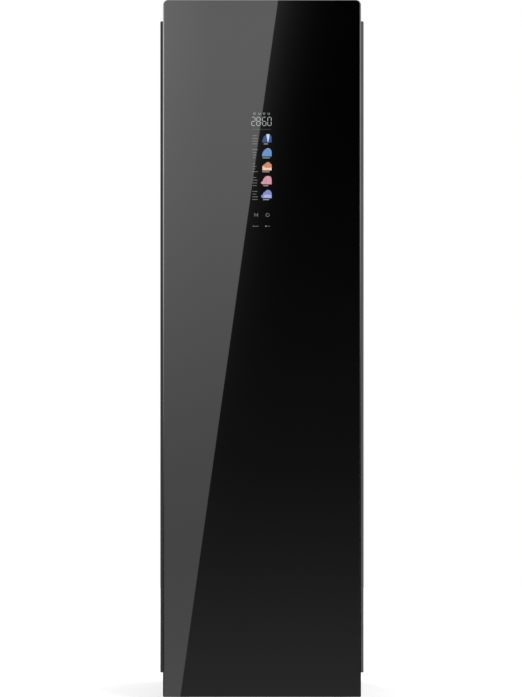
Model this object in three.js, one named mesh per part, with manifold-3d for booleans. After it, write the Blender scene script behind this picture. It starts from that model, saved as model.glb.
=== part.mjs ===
// Clothes care steam cabinet: a tall, narrow, free-standing wardrobe that steams, shakes and dries clothes.
// A black glass door covers a moulded cavity with a shaken hanger bar. The steam generator, the heat pump,
// the blower and two lift-out water tanks sit under the cavity's deck.
// Millimetres, +Z up. The door faces -Y. The origin is on the floor below the middle of the cabinet.
import * as THREE from "three";
import { mergeVertices } from "three/addons/utils/BufferGeometryUtils.js";
import Module from "manifold-3d";

const wasm = await Module();
wasm.setup();

// Driving dimensions.
const overallHeight = 1850;
const overallDepth = 590;
const doorWidth = 522;
const doorDepth = 48;
const doorFloorGap = 12;
const sealDepth = 10;
const sideReveal = 3;
const topReveal = 8;
const baseHeight = 21;
const deckHeight = 330;
const shakerSpace = 130;

// Stock and clearances.
const sheetSteel = 1.2;
const panSteel = 2;
const bracketSteel = 3;
const mouldedWall = 3;
const foamDepth = 25;
const wiringSpace = 15;
const fitGap = 0.3;
const overrun = 5;

// How many flats stand for a circle.
const roundSides = 24;
const smallSides = 12;
const bigSides = 36;
const arcSteps = 6;
const pipeArcSteps = 4;

// Where the main faces lie.
const frontFace = -overallDepth / 2;
const backFace = overallDepth / 2;
const doorHalf = doorWidth / 2;
const doorRear = frontFace + doorDepth;
const cabinetFront = doorRear + sealDepth;
const cabinetHalf = doorHalf - sideReveal;
const cabinetTop = overallHeight - topReveal;
const ceilingHeight = cabinetTop - shakerSpace;
const steelInner = cabinetHalf - sheetSteel;
const foamOuter = steelInner - fitGap;
const foamInner = foamOuter - foamDepth;
const linerOuter = foamInner - fitGap;
const linerInner = linerOuter - mouldedWall;
const backFoamRear = backFace - sheetSteel - wiringSpace;
const backFoamFront = backFoamRear - foamDepth;
const linerBackRear = backFoamFront - fitGap;
const linerBackFront = linerBackRear - mouldedWall;
const panFloor = baseHeight + panSteel;
const standsOnPan = panFloor + fitGap;

const finish = (color, roughness, metalness = 0, more = {}) =>
  new THREE.MeshStandardMaterial({ color, roughness, metalness, ...more });
const blackGlass = finish(0x050506, 0.03);
const rimAluminium = finish(0x8a8c8f, 0.25, 0.9);
const gripAluminium = finish(0x3b3c3e, 0.4, 0.8);
const graphiteSteel = finish(0x3a3b3e, 0.45, 0.4);
const darkSteel = finish(0x2a2b2d, 0.5, 0.5);
const bareSteel = finish(0xb4b7ba, 0.35, 1);
const linerPlastic = finish(0xd9dcde, 0.4);
const deckPlastic = finish(0xc3c7ca, 0.45);
const darkPlastic = finish(0x26282b, 0.55);
const smokePlastic = finish(0x8d9aa3, 0.15, 0, { transparent: true, opacity: 0.5 });
const sealRubber = finish(0x4a4c4f, 0.8);
const foam = finish(0xe9e6dd, 0.9);
const finAluminium = finish(0xc9cccf, 0.4, 0.9);

// A closed geometry as a solid that can be joined and cut.
function toSolid(geometry) {
  const bare = geometry.clone();
  bare.deleteAttribute("normal");
  bare.deleteAttribute("uv");
  const merged = mergeVertices(bare);
  return new wasm.Manifold(
    new wasm.Mesh({
      numProp: 3,
      vertProperties: new Float32Array(merged.attributes.position.array),
      triVerts: new Uint32Array(merged.index.array),
    }),
  );
}

const join = (first, ...others) => others.reduce((whole, one) => whole.add(one), first);
const cut = (first, ...others) => others.reduce((whole, one) => whole.subtract(one), first);

// A named mesh of a solid, added to the group that carries it.
function piece(parent, name, solid, material) {
  const made = solid.getMesh();
  const geometry = new THREE.BufferGeometry();
  geometry.setAttribute("position", new THREE.BufferAttribute(made.vertProperties, 3));
  geometry.setIndex(new THREE.BufferAttribute(made.triVerts, 1));
  geometry.computeVertexNormals();
  const mesh = new THREE.Mesh(geometry, material);
  mesh.name = name;
  parent.add(mesh);
}

// A group that turns or slides about the point given. What is put in it is modelled in the cabinet's frame.
function carried(parent, x, y, z) {
  const pivot = new THREE.Group();
  pivot.position.set(x, y, z);
  const content = new THREE.Group();
  content.position.set(-x, -y, -z);
  pivot.add(content);
  parent.add(pivot);
  return content;
}

// A box between two values on each axis.
function block([x0, x1], [y0, y1], [z0, z1]) {
  const geometry = new THREE.BoxGeometry(x1 - x0, y1 - y0, z1 - z0);
  geometry.translate((x0 + x1) / 2, (y0 + y1) / 2, (z0 + z1) / 2);
  return toSolid(geometry);
}

const around = (centre, size) => [centre - size / 2, centre + size / 2];
const both = (half) => [-half, half];
const from = (start, size) => [start, start + size];

// Turns a geometry made along +Z so that it runs along the axis named.
function along(axis, geometry) {
  const turn = new THREE.Matrix4();
  if (axis === "x") turn.set(0, 0, 1, 0, 1, 0, 0, 0, 0, 1, 0, 0, 0, 0, 0, 1);
  if (axis === "y") turn.set(0, 1, 0, 0, 0, 0, 1, 0, 1, 0, 0, 0, 0, 0, 0, 1);
  return geometry.applyMatrix4(turn);
}

// A round bar along an axis. For "x" the centre is (y, z), for "y" it is (z, x) and for "z" it is (x, y).
function rod(axis, [a, b], radius, [start, end], sides = roundSides) {
  const geometry = new THREE.CylinderGeometry(radius, radius, end - start, sides);
  geometry.rotateX(Math.PI / 2);
  geometry.translate(a, b, (start + end) / 2);
  return toSolid(along(axis, geometry));
}

// An outline extruded along an axis, with its own (x, y) laid out as rod lays out its centre.
function slab(axis, outline, [start, end], curveSegments = arcSteps) {
  const depth = end - start;
  const geometry = new THREE.ExtrudeGeometry(outline, { depth, bevelEnabled: false, curveSegments });
  geometry.translate(0, 0, start);
  return toSolid(along(axis, geometry));
}

// A rectangle with its own radius at each corner: low left, low right, high right, high left.
function rounded([x0, x1], [y0, y1], [r0, r1, r2, r3]) {
  const outline = new THREE.Shape();
  const corner = (x, y, r, start) => {
    if (r > 0) outline.absarc(x, y, r, start, start + Math.PI / 2);
    else outline.lineTo(x, y);
  };
  outline.moveTo(x0 + r0, y0);
  corner(x1 - r1, y0 + r1, r1, -Math.PI / 2);
  corner(x1 - r2, y1 - r2, r2, 0);
  corner(x0 + r3, y1 - r3, r3, Math.PI / 2);
  corner(x0 + r0, y0 + r0, r0, Math.PI);
  return outline;
}

// A rounded front outline, pushed through from one depth to another. Its radii are those of the two top
// corners and of the two bottom ones.
function frontSlab(xs, zs, topRadius, bottomRadius, ys) {
  const outline = rounded(zs, xs, [bottomRadius, topRadius, topRadius, bottomRadius]);
  return slab("y", outline, ys);
}

// A can or a flanged tube along +Z, turned from its half profile of [radius, height] pairs.
function turned(profile, x, y) {
  const geometry = new THREE.LatheGeometry(
    profile.map(([radius, height]) => new THREE.Vector2(radius, height)),
    roundSides,
  );
  geometry.rotateX(Math.PI / 2);
  geometry.translate(x, y, 0);
  return toSolid(geometry);
}

// A bent pipe along a smooth curve through the points given.
function pipe(points, radius, steps) {
  const section = new THREE.Shape();
  section.absarc(0, 0, radius, 0, 2 * Math.PI);
  const extrudePath = new THREE.CatmullRomCurve3(points.map((point) => new THREE.Vector3(...point)));
  const curveSegments = pipeArcSteps;
  return toSolid(
    new THREE.ExtrudeGeometry(section, { steps, extrudePath, curveSegments, bevelEnabled: false }),
  );
}

const cabinet = new THREE.Group();

// Hinges. The door hangs on two pins near its right edge, hidden behind the glass. Each bracket's nose is
// round about the pin and its arm runs back on the inner side, so that the door's rim passes it.
const hinge = {
  inset: 16,
  behindFace: 28,
  pinRadius: 4,
  pinReach: 26,
  noseRadius: 12,
  armInward: 24,
  armOutward: 4,
  seat: 32,
  play: 0.5,
};
const hingeX = doorHalf - hinge.inset;
const hingeY = frontFace + hinge.behindFace;
const door = carried(cabinet, hingeX, hingeY, 0);

function hingeBracket(plate, pin) {
  return join(
    rod("z", [hingeX, hingeY], hinge.noseRadius, plate),
    block(
      [hingeX - hinge.armInward, hingeX + hinge.armOutward],
      [hingeY, cabinetFront + hinge.seat],
      plate,
    ),
    rod("z", [hingeX, hingeY], hinge.pinRadius, pin),
  );
}

// The door, from the front: glass, aluminium rim, shell with its foam core, inner panel and magnetic seal.
const rim = {
  depth: 15,
  inset: 0.5,
  sideReveal: 3.5,
  endReveal: 0.7,
  lip: 4,
  outerRadius: 14.5,
  footRadius: 1,
};
const glass = { thickness: 4 };
const shell = { inset: 3, endInset: 12, wall: 2.5 };
const dyke = { gap: 4, width: 18, height: 19, endGap: 7 };
const seal = { width: 13, overlap: 2 };
const doorBottom = doorFloorGap;
const doorTop = overallHeight;
const rimRear = frontFace + rim.depth;
const shellHalf = doorHalf - shell.inset;
const shellZ = [doorBottom + shell.endInset, doorTop - shell.endInset];
const shellY = [rimRear + fitGap, doorRear - mouldedWall - fitGap];
const rebateHalf = doorHalf - rim.sideReveal;
const rebateZ = [doorBottom + rim.endReveal, doorTop - rim.endReveal];
const mouthHalf = rebateHalf - rim.lip;
const mouthZ = [rebateZ[0] + rim.lip, rebateZ[1] - rim.lip];
const glassHalf = rebateHalf - fitGap;
const glassZ = [rebateZ[0] + fitGap, rebateZ[1] - fitGap];
const glassRear = frontFace + glass.thickness;
const glassRadius = rim.outerRadius - rim.sideReveal;

piece(
  door,
  "door_glass",
  frontSlab(both(glassHalf), glassZ, glassRadius, rim.footRadius, [frontFace, glassRear]),
  blackGlass,
);
piece(
  door,
  "door_rim",
  cut(
    frontSlab(both(doorHalf), [doorBottom, doorTop], rim.outerRadius, rim.footRadius, [
      frontFace + rim.inset,
      rimRear,
    ]),
    frontSlab(both(rebateHalf), rebateZ, glassRadius, rim.footRadius, [
      frontFace - overrun,
      glassRear + fitGap,
    ]),
    frontSlab(both(mouthHalf), mouthZ, glassRadius - rim.lip, rim.footRadius, [
      frontFace - overrun,
      rimRear + overrun,
    ]),
  ),
  rimAluminium,
);

// Bushes that the hinge pins turn in, let into the two ends of the door's shell.
const bush = { radius: 8, length: 26, flangeRadius: 11, flange: 2.5 };
const topBushZ = [shellZ[1] - bush.length, shellZ[1] + fitGap];
const topFlangeZ = from(shellZ[1] + fitGap, bush.flange);
const lowBushZ = [shellZ[0] - fitGap, shellZ[0] + bush.length];
const lowFlangeZ = [shellZ[0] - fitGap - bush.flange, shellZ[0] - fitGap];
const bushHole = (span, clearance) =>
  rod("z", [hingeX, hingeY], bush.radius + clearance, [span[0] - overrun, span[1] + overrun]);
const pinBore = (span) =>
  rod("z", [hingeX, hingeY], hinge.pinRadius + hinge.play, [span[0] - overrun, span[1] + overrun]);
const bushSolid = (body, flange) =>
  cut(
    join(
      rod("z", [hingeX, hingeY], bush.radius, body),
      rod("z", [hingeX, hingeY], bush.flangeRadius, flange),
    ),
    pinBore([Math.min(body[0], flange[0]), Math.max(body[1], flange[1])]),
  );
piece(door, "hinge_bush_top", bushSolid(topBushZ, topFlangeZ), darkPlastic);
piece(door, "hinge_bush_bottom", bushSolid(lowBushZ, lowFlangeZ), darkPlastic);

piece(
  door,
  "door_shell",
  cut(
    block(both(shellHalf), shellY, shellZ),
    block(
      both(shellHalf - shell.wall),
      [shellY[0] - overrun, shellY[1] + overrun],
      [shellZ[0] + shell.wall, shellZ[1] - shell.wall],
    ),
    bushHole(topBushZ, fitGap),
    bushHole(lowBushZ, fitGap),
  ),
  graphiteSteel,
);

// The touch display sits behind the glass, in a pocket of the foam.
const display = { width: 78, height: 346, depth: 11, centreBelowTop: 448, shelfDepth: 3 };
const displayZ = around(doorTop - display.centreBelowTop, display.height);
const displayY = from(glassRear + fitGap, display.depth);
const displayFlangeY = from(rimRear + fitGap - display.shelfDepth, display.shelfDepth);
piece(
  door,
  "touch_display",
  join(
    block(around(0, display.width), displayY, displayZ),
    block(
      around(0, display.width - display.depth),
      [displayY[1] - display.shelfDepth, displayFlangeY[1] - display.shelfDepth + display.depth / 2],
      [displayZ[0] + display.depth, displayZ[1] - display.depth],
    ),
  ),
  darkPlastic,
);
const foamClear = shell.wall + fitGap;
piece(
  door,
  "door_foam",
  cut(
    join(
      block(both(shellHalf - foamClear), shellY, [shellZ[0] + foamClear, shellZ[1] - foamClear]),
      block(
        both(mouthHalf - fitGap),
        [glassRear + fitGap, shellY[0] + fitGap],
        [shellZ[0] + foamClear, shellZ[1] - foamClear],
      ),
    ),
    block(
      around(0, display.width + 2 * fitGap),
      [displayY[0] - overrun, displayFlangeY[1] + display.depth / 2],
      [displayZ[0] - fitGap, displayZ[1] + fitGap],
    ),
    bushHole([topBushZ[0], topBushZ[1]], 2 * fitGap),
    bushHole([lowBushZ[0], lowBushZ[1]], 2 * fitGap),
  ),
  foam,
);

const cavityZ = [deckHeight, ceilingHeight];
const dykeOuter = linerInner - dyke.gap;
const dykeZ = [cavityZ[0] + dyke.endGap, cavityZ[1] - dyke.endGap];
const dykeRear = doorRear + dyke.height;
piece(
  door,
  "door_inner_panel",
  join(
    block(both(shellHalf), [doorRear - mouldedWall, doorRear], shellZ),
    cut(
      block(both(dykeOuter), [doorRear - fitGap, dykeRear], dykeZ),
      block(
        both(dykeOuter - dyke.width),
        [doorRear - overrun, dykeRear + overrun],
        [dykeZ[0] + dyke.width, dykeZ[1] - dyke.width],
      ),
    ),
  ),
  linerPlastic,
);
const sealInner = linerInner + seal.overlap;
const sealOuter = sealInner + seal.width;
const sealY = [doorRear + fitGap, cabinetFront - fitGap];
piece(
  door,
  "door_seal",
  cut(
    block(both(sealOuter), sealY, [cavityZ[0] - seal.width, cavityZ[1] + seal.width]),
    block(both(sealInner), [sealY[0] - overrun, sealY[1] + overrun], cavityZ),
  ),
  sealRubber,
);

// Grip rails: a dark aluminium strip along each side of the door, proud of it so that fingers hook behind.
const grip = {
  proud: 7,
  belowTop: 56.5,
  aboveDoorFoot: 65,
  behindFace: 4,
  depth: 29,
  cornerRadius: 2.6,
  scoopDepth: 3,
  scoopLength: 9,
};
const gripZ = [doorBottom + grip.aboveDoorFoot, doorTop - grip.belowTop];
const gripY = from(frontFace + grip.behindFace, grip.depth);
function gripRail(side) {
  const near = doorHalf + fitGap;
  const far = doorHalf + grip.proud;
  const inward = shellHalf + fitGap;
  const face = rounded(gripZ, [near, far], [0, 0, grip.cornerRadius, grip.cornerRadius]);
  const rail = cut(
    join(
      slab("y", face, gripY),
      block([inward, near + overrun / 2], [rimRear + fitGap, gripY[1]], [
        gripZ[0] + grip.cornerRadius,
        gripZ[1] - grip.cornerRadius,
      ]),
    ),
    block(
      [near, near + grip.scoopDepth],
      [gripY[1] - grip.scoopLength, gripY[1] + overrun],
      [gripZ[0] - overrun, gripZ[1] + overrun],
    ),
  );
  return side > 0 ? rail : rail.mirror([1, 0, 0]);
}
piece(door, "grip_rail_right", gripRail(1), gripAluminium);
piece(door, "grip_rail_left", gripRail(-1), gripAluminium);

piece(
  cabinet,
  "hinge_bracket_top",
  hingeBracket(from(cabinetTop + fitGap, bracketSteel), [
    cabinetTop + fitGap - hinge.pinReach,
    cabinetTop + fitGap + bracketSteel,
  ]),
  bareSteel,
);
piece(
  cabinet,
  "hinge_bracket_bottom",
  hingeBracket([baseHeight - fitGap - bracketSteel, baseHeight - fitGap], [
    baseHeight - fitGap - bracketSteel,
    baseHeight - fitGap + hinge.pinReach,
  ]),
  bareSteel,
);

// The steel case: base pan, two side panels, top and back covers, and the frame that the door shuts on.
const frontFrameDepth = 8;
const caseFront = cabinetFront + frontFrameDepth + fitGap;
const caseBack = backFace - sheetSteel - fitGap;
const base = { wallHeight: 40 };
const foot = {
  padRadius: 18,
  padHeight: 8,
  collarRadius: 11,
  collarSides: 6,
  stemRadius: 5,
  stemTop: 46,
  inset: 48,
  play: 0.4,
};
const footPlaces = [
  ["front_left", -(cabinetHalf - foot.inset), caseFront + foot.inset],
  ["front_right", cabinetHalf - foot.inset, caseFront + foot.inset],
  ["rear_left", -(cabinetHalf - foot.inset), caseBack - foot.inset],
  ["rear_right", cabinetHalf - foot.inset, caseBack - foot.inset],
];
piece(
  cabinet,
  "base_pan",
  cut(
    block(both(steelInner - fitGap), [caseFront, caseBack], from(baseHeight, base.wallHeight)),
    block(
      both(steelInner - fitGap - panSteel),
      [caseFront + panSteel, caseBack - panSteel],
      [panFloor, baseHeight + base.wallHeight + overrun],
    ),
    ...footPlaces.map(([, x, y]) =>
      rod("z", [x, y], foot.stemRadius + foot.play, [baseHeight - overrun, panFloor + overrun]),
    ),
  ),
  darkSteel,
);
for (const [place, x, y] of footPlaces) {
  const turning = carried(cabinet, x, y, 0);
  piece(
    turning,
    "foot_" + place,
    join(
      rod("z", [x, y], foot.padRadius, [0, foot.padHeight]),
      rod("z", [x, y], foot.collarRadius, [foot.padHeight - fitGap, baseHeight - fitGap], foot.collarSides),
      rod("z", [x, y], foot.stemRadius, [baseHeight - overrun, foot.stemTop], smallSides),
    ),
    darkPlastic,
  );
}

const flange = { side: 14, top: 18 };
function sidePanel(side) {
  const panel = cut(
    block(
      [steelInner - flange.side, cabinetHalf],
      [caseFront, caseBack],
      [baseHeight, cabinetTop - sheetSteel - fitGap],
    ),
    block(
      [steelInner - flange.side - overrun, steelInner],
      [caseFront + sheetSteel, caseBack - sheetSteel],
      [baseHeight - overrun, cabinetTop],
    ),
  );
  // The lower end of each return is cut away to clear the base pan.
  const notched = cut(
    panel,
    block(
      [steelInner - flange.side - overrun, steelInner],
      [caseFront - overrun, caseBack + overrun],
      [baseHeight - overrun, baseHeight + base.wallHeight + fitGap],
    ),
    block(
      [steelInner - flange.side - overrun, steelInner],
      [caseFront - overrun, caseBack + overrun],
      [cabinetTop - sheetSteel - flange.top - fitGap, cabinetTop],
    ),
  );
  return side > 0 ? notched : notched.mirror([1, 0, 0]);
}
piece(cabinet, "side_panel_right", sidePanel(1), graphiteSteel);
piece(cabinet, "side_panel_left", sidePanel(-1), graphiteSteel);

piece(
  cabinet,
  "top_cover",
  join(
    block(both(cabinetHalf), [caseFront, caseBack], [cabinetTop - sheetSteel, cabinetTop]),
    cut(
      block(
        both(steelInner - fitGap),
        [caseFront, caseBack],
        [cabinetTop - flange.top, cabinetTop - sheetSteel + fitGap],
      ),
      block(
        both(steelInner - fitGap - sheetSteel),
        [caseFront + sheetSteel, caseBack - sheetSteel],
        [cabinetTop - flange.top - overrun, cabinetTop - sheetSteel],
      ),
    ),
  ),
  graphiteSteel,
);

const inlet = { width: 50, height: 30, depth: 24, fromSide: 70, aboveBase: 60, flange: 4, plate: 1 };
const inletX = around(-(cabinetHalf - inlet.fromSide), inlet.width);
const inletZ = from(baseHeight + inlet.aboveBase, inlet.height);
const louvre = { count: 9, pitch: 16, width: 180, height: 5, aboveBase: 70, fromSide: 40 };
const louvreSlots = Array.from({ length: louvre.count }, (_, n) =>
  block(
    [cabinetHalf - louvre.fromSide - louvre.width, cabinetHalf - louvre.fromSide],
    [caseBack - overrun, backFace + overrun],
    from(baseHeight + louvre.aboveBase + n * louvre.pitch, louvre.height),
  ),
);
piece(
  cabinet,
  "back_cover",
  cut(
    block(both(cabinetHalf), [backFace - sheetSteel, backFace], [baseHeight, cabinetTop]),
    block(
      [inletX[0] - fitGap, inletX[1] + fitGap],
      [caseBack - overrun, backFace + overrun],
      [inletZ[0] - fitGap, inletZ[1] + fitGap],
    ),
    ...louvreSlots,
  ),
  darkSteel,
);
const inletCavity = { wall: 5, depth: 18 };
piece(
  cabinet,
  "power_inlet",
  cut(
    join(
      block(inletX, [backFace - inlet.depth, backFace - fitGap], inletZ),
      block(
        [inletX[0] - inlet.flange, inletX[1] + inlet.flange],
        from(backFace - sheetSteel - fitGap - inlet.plate, inlet.plate),
        [inletZ[0] - inlet.flange, inletZ[1] + inlet.flange],
      ),
    ),
    block(
      [inletX[0] + inletCavity.wall, inletX[1] - inletCavity.wall],
      [backFace - inletCavity.depth, backFace + overrun],
      [inletZ[0] + inletCavity.wall, inletZ[1] - inletCavity.wall],
    ),
  ),
  darkPlastic,
);

// The front frame has the cavity's mouth and, below it, two slots that show the water levels.
const levelSlot = { width: 12, height: 120, radius: 6, aboveTankFoot: 40 };
const levelSlotRadii = [levelSlot.radius, levelSlot.radius, levelSlot.radius, levelSlot.radius];
const tank = { belowDeck: 9.5, play: 2, wall: 2.5, lidHeight: 14 };
const bay = { wall: 3, frontGap: 2.5, sideGap: 22, aboveBase: 79 };

// Behind the tanks come the return vents, the lint filter, two coils and the blower with its hood. The depth
// that these walls, gaps and pieces leave is shared between the tanks and the coils.
const returnVent = { count: 7, width: 9, length: 26, pitch: 18, behindBay: 6 };
const filter = {
  width: 128,
  depth: 16,
  height: 148,
  behindVent: 10,
  play: 1,
  lip: 7,
  flange: 3,
  tab: 14,
  tabWidth: 40,
};
const coil = {
  besideBoiler: 2,
  belowDeck: 72,
  finFoot: 46,
  plate: 2,
  fins: 5,
  tubeRadius: 4,
  tubeSides: 6,
  tubes: 3,
  apart: 10,
};
const blower = {
  fromSide: 128.8,
  abovePan: 19,
  radius: 78,
  wall: 3,
  fromBack: 175,
  depth: 72,
  neckInner: 26,
  inletRadius: 40,
  wheelRadius: 54,
  wheelGap: 8,
  blades: 16,
  bladeDepth: 12,
  bladeThick: 2,
  disc: 3,
  shaftRadius: 5,
  shaftReach: 16,
  shaftPlay: 0.4,
  motorRadius: 32,
  motorLength: 44,
};
const hood = { depth: 20, wall: 3, overCoil: 12, foot: 42, gap: 2 };
const wellFront = caseFront + bay.frontGap + bay.wall;
const hoodFront = backFace - blower.fromBack - hood.depth;
const ventAndFilterDepth = returnVent.behindBay + returnVent.length + filter.behindVent + filter.depth;
const depthToShare =
  hoodFront - hood.gap - 2 * coil.apart - ventAndFilterDepth - bay.wall - 2 * tank.play - wellFront;
const tankDepthShare = 0.542;
const tankDepth = depthToShare * tankDepthShare;
const wellX = [bay.wall, linerInner - bay.sideGap - bay.wall];
const tankCentreX = (wellX[0] + wellX[1]) / 2;
const wellY = from(wellFront, tankDepth + 2 * tank.play);
const tankCentreY = (wellY[0] + wellY[1]) / 2;
const bayFoot = baseHeight + bay.aboveBase;
const wellFloor = bayFoot + bay.wall;
const mirrored = ([low, high]) => [-high, -low];
const levelZ = from(wellFloor + levelSlot.aboveTankFoot, levelSlot.height);
const levelSlotAt = (x, ys) =>
  slab("y", rounded(levelZ, around(x, levelSlot.width), levelSlotRadii), ys);
piece(
  cabinet,
  "front_frame",
  cut(
    block(both(cabinetHalf), from(cabinetFront, frontFrameDepth), [baseHeight, cabinetTop]),
    block(both(linerInner), [cabinetFront - overrun, caseFront + overrun], cavityZ),
    levelSlotAt(-tankCentreX, [cabinetFront - overrun, caseFront + overrun]),
    levelSlotAt(tankCentreX, [cabinetFront - overrun, caseFront + overrun]),
  ),
  deckPlastic,
);

// The cavity: two side walls with ledges for the shelf, a back wall with air slots, a ceiling and a deck.
const ledge = { reach: 8, height: 8, aboveDeck: 310, fromFront: 42, fromBack: 96 };
const ledgeTop = deckHeight + ledge.aboveDeck;
const ledgeY = [caseFront + ledge.fromFront, linerBackFront - ledge.fromBack];
const flute = { depth: 1.2, width: 26, pitch: 96, count: 4, fromFront: 62, fromEnds: 60 };
function linerSide(side) {
  const flutes = Array.from({ length: flute.count }, (_, n) =>
    block(
      [linerInner - overrun, linerInner + flute.depth],
      from(caseFront + flute.fromFront + n * flute.pitch, flute.width),
      [ledgeTop + flute.fromEnds, cavityZ[1] - flute.fromEnds],
    ),
  );
  const wall = join(
    cut(block([linerInner, linerOuter], [caseFront, linerBackRear], cavityZ), ...flutes),
    block([linerInner - ledge.reach, linerInner + fitGap], ledgeY, [ledgeTop - ledge.height, ledgeTop]),
  );
  return side > 0 ? wall : wall.mirror([1, 0, 0]);
}
piece(cabinet, "liner_right", linerSide(1), linerPlastic);
piece(cabinet, "liner_left", linerSide(-1), linerPlastic);

const vent = { count: 7, width: 10, height: 70, pitch: 26, belowCeiling: 60 };
const ventAt = (n) => (n - (vent.count - 1) / 2) * vent.pitch;
const ventZ = [cavityZ[1] - vent.belowCeiling - vent.height, cavityZ[1] - vent.belowCeiling];
piece(
  cabinet,
  "liner_back",
  cut(
    block(both(linerInner - fitGap), [linerBackFront, linerBackRear], cavityZ),
    ...Array.from({ length: vent.count }, (_, n) =>
      block(around(ventAt(n), vent.width), [linerBackFront - overrun, linerBackRear + overrun], ventZ),
    ),
  ),
  linerPlastic,
);

function foamSide(side) {
  const slabOfFoam = block(
    [foamInner, foamOuter],
    [caseFront + sheetSteel + fitGap, caseBack - sheetSteel - fitGap],
    cavityZ,
  );
  return side > 0 ? slabOfFoam : slabOfFoam.mirror([1, 0, 0]);
}
piece(cabinet, "insulation_right", foamSide(1), foam);
piece(cabinet, "insulation_left", foamSide(-1), foam);
const foamBack = block(both(linerOuter - fitGap), [backFoamFront, backFoamRear], cavityZ);
piece(cabinet, "insulation_back", foamBack, foam);

// The shaker above the ceiling: a gear motor turns a crank, whose pin moves the carriage from side to side on
// two rods. Two posts reach down through the ceiling and carry the hanger bar.
const ceilingThickness = 4;
const shakerY = (caseFront + linerBackFront) / 2;
const stroke = 12;
const bar = {
  drop: 72,
  radius: 9,
  endGap: 36,
  grooveRadius: 7,
  grooveWidth: 9,
  notches: 5,
  pitch: 70,
  sides: 20,
};
const post = { x: 105, width: 16, depth: 22, below: 15, play: 3 };
const rail = {
  radius: 5,
  apart: 120,
  height: 60,
  fromWall: 28,
  endThick: 12,
  endDepth: 150,
  strip: 20,
  base: 3,
};
const railHalf = linerInner - rail.fromWall;
const barHalf = linerInner - bar.endGap;
const carriage = {
  half: 132,
  depth: 146,
  thickness: 5,
  belowRod: 10,
  bearing: 30,
  bearingDepth: 22,
  play: 0.5,
};
const crank = {
  discRadius: 20,
  disc: 6,
  pinRadius: 4,
  pinLength: 13,
  shaftRadius: 5,
  shaftLength: 20,
  play: 0.8,
};
const motor = { width: 60, depth: 48, height: 26, boreFloor: 6 };
const topDeck = cavityZ[1] + ceilingThickness + fitGap;
const barZ = cavityZ[1] - bar.drop;
const rodZ = topDeck + rail.height;
const plateZ = [rodZ - carriage.belowRod - carriage.thickness, rodZ - carriage.belowRod];
const motorTop = topDeck + motor.height;
const discZ = from(motorTop + crank.play + bracketSteel, crank.disc);
const slotHalfX = post.width / 2 + stroke + post.play;
const slotHalfY = post.depth / 2 + post.play;
piece(
  cabinet,
  "ceiling_panel",
  cut(
    block(both(linerOuter), [caseFront, linerBackRear], [cavityZ[1] + fitGap, cavityZ[1] + ceilingThickness]),
    ...[-post.x, post.x].map((x) =>
      block([x - slotHalfX, x + slotHalfX], [shakerY - slotHalfY, shakerY + slotHalfY], [
        cavityZ[1] - overrun,
        topDeck + overrun,
      ]),
    ),
  ),
  linerPlastic,
);

const railY = [shakerY - rail.apart / 2, shakerY + rail.apart / 2];
const railEndZ = [topDeck, rodZ + rail.endThick];
const railEnd = (x) => block(around(x, rail.endThick), around(shakerY, rail.endDepth), railEndZ);
piece(
  cabinet,
  "shaker_rails",
  join(
    railEnd(-railHalf),
    railEnd(railHalf),
    ...railY.map((y) => rod("x", [y, rodZ], rail.radius, both(railHalf), smallSides)),
    ...railY.map((y) => block(both(railHalf), around(y, rail.strip), from(topDeck, rail.base))),
  ),
  bareSteel,
);
piece(
  cabinet,
  "shaker_motor",
  cut(
    block(around(0, motor.width), around(shakerY, motor.depth), [topDeck, motorTop]),
    rod("z", [0, shakerY], crank.shaftRadius + crank.play, [topDeck + motor.boreFloor, motorTop + overrun]),
  ),
  darkPlastic,
);

const crankCarried = carried(cabinet, 0, shakerY, 0);
piece(
  crankCarried,
  "crank_disc",
  join(
    rod("z", [0, shakerY], crank.discRadius, discZ),
    rod("z", [0, shakerY], crank.shaftRadius, [discZ[0] - crank.shaftLength, discZ[1]], smallSides),
    rod("z", [0, shakerY - stroke], crank.pinRadius, [discZ[0], discZ[1] + crank.pinLength], smallSides),
  ),
  bareSteel,
);

// The carriage is coupled to the crank at a constant ratio, so the yoke's slot is wider than the pin by the
// most that a sine runs ahead of a straight line over a quarter turn, which is 0.211 of the stroke.
const sineLeadShare = 0.211;
const yoke = { play: 0.5, endPlay: 1.5 };
const yokeHalf = crank.pinRadius + stroke * sineLeadShare + yoke.play;
const yokeY = [
  shakerY - stroke - crank.pinRadius - yoke.endPlay,
  shakerY + crank.pinRadius + yoke.endPlay,
];
const shaken = carried(cabinet, 0, shakerY, barZ);
const bearingAt = (x, y) =>
  block(around(x, carriage.bearing), around(y, carriage.bearingDepth), [plateZ[1] - fitGap, railEndZ[1]]);
const bearings = [-post.x, post.x].flatMap((x) => railY.map((y) => bearingAt(x, y)));
piece(
  shaken,
  "shaker_carriage",
  cut(
    join(
      block(both(carriage.half), around(shakerY, carriage.depth), plateZ),
      ...bearings,
      ...[-post.x, post.x].map((x) =>
        block(around(x, post.width), around(shakerY, post.depth), [barZ - post.below, plateZ[1]]),
      ),
    ),
    ...railY.map((y) => rod("x", [y, rodZ], rail.radius + carriage.play, both(railHalf), smallSides)),
    rod("x", [shakerY, barZ], bar.radius + fitGap, both(railHalf)),
    block(both(yokeHalf), yokeY, [plateZ[0] - overrun, plateZ[1] + overrun]),
  ),
  bareSteel,
);
const notchX = (n) => (n - (bar.notches - 1) / 2) * bar.pitch;
const barGroove = (x) =>
  cut(
    rod("x", [shakerY, barZ], bar.radius + overrun, around(x, bar.grooveWidth), bar.sides),
    rod("x", [shakerY, barZ], bar.grooveRadius, around(x, bar.grooveWidth + overrun), bar.sides),
  );
piece(
  shaken,
  "hanger_bar",
  cut(
    rod("x", [shakerY, barZ], bar.radius, both(barHalf), bar.sides),
    ...Array.from({ length: bar.notches }, (_, n) => barGroove(notchX(n))),
  ),
  bareSteel,
);

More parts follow.
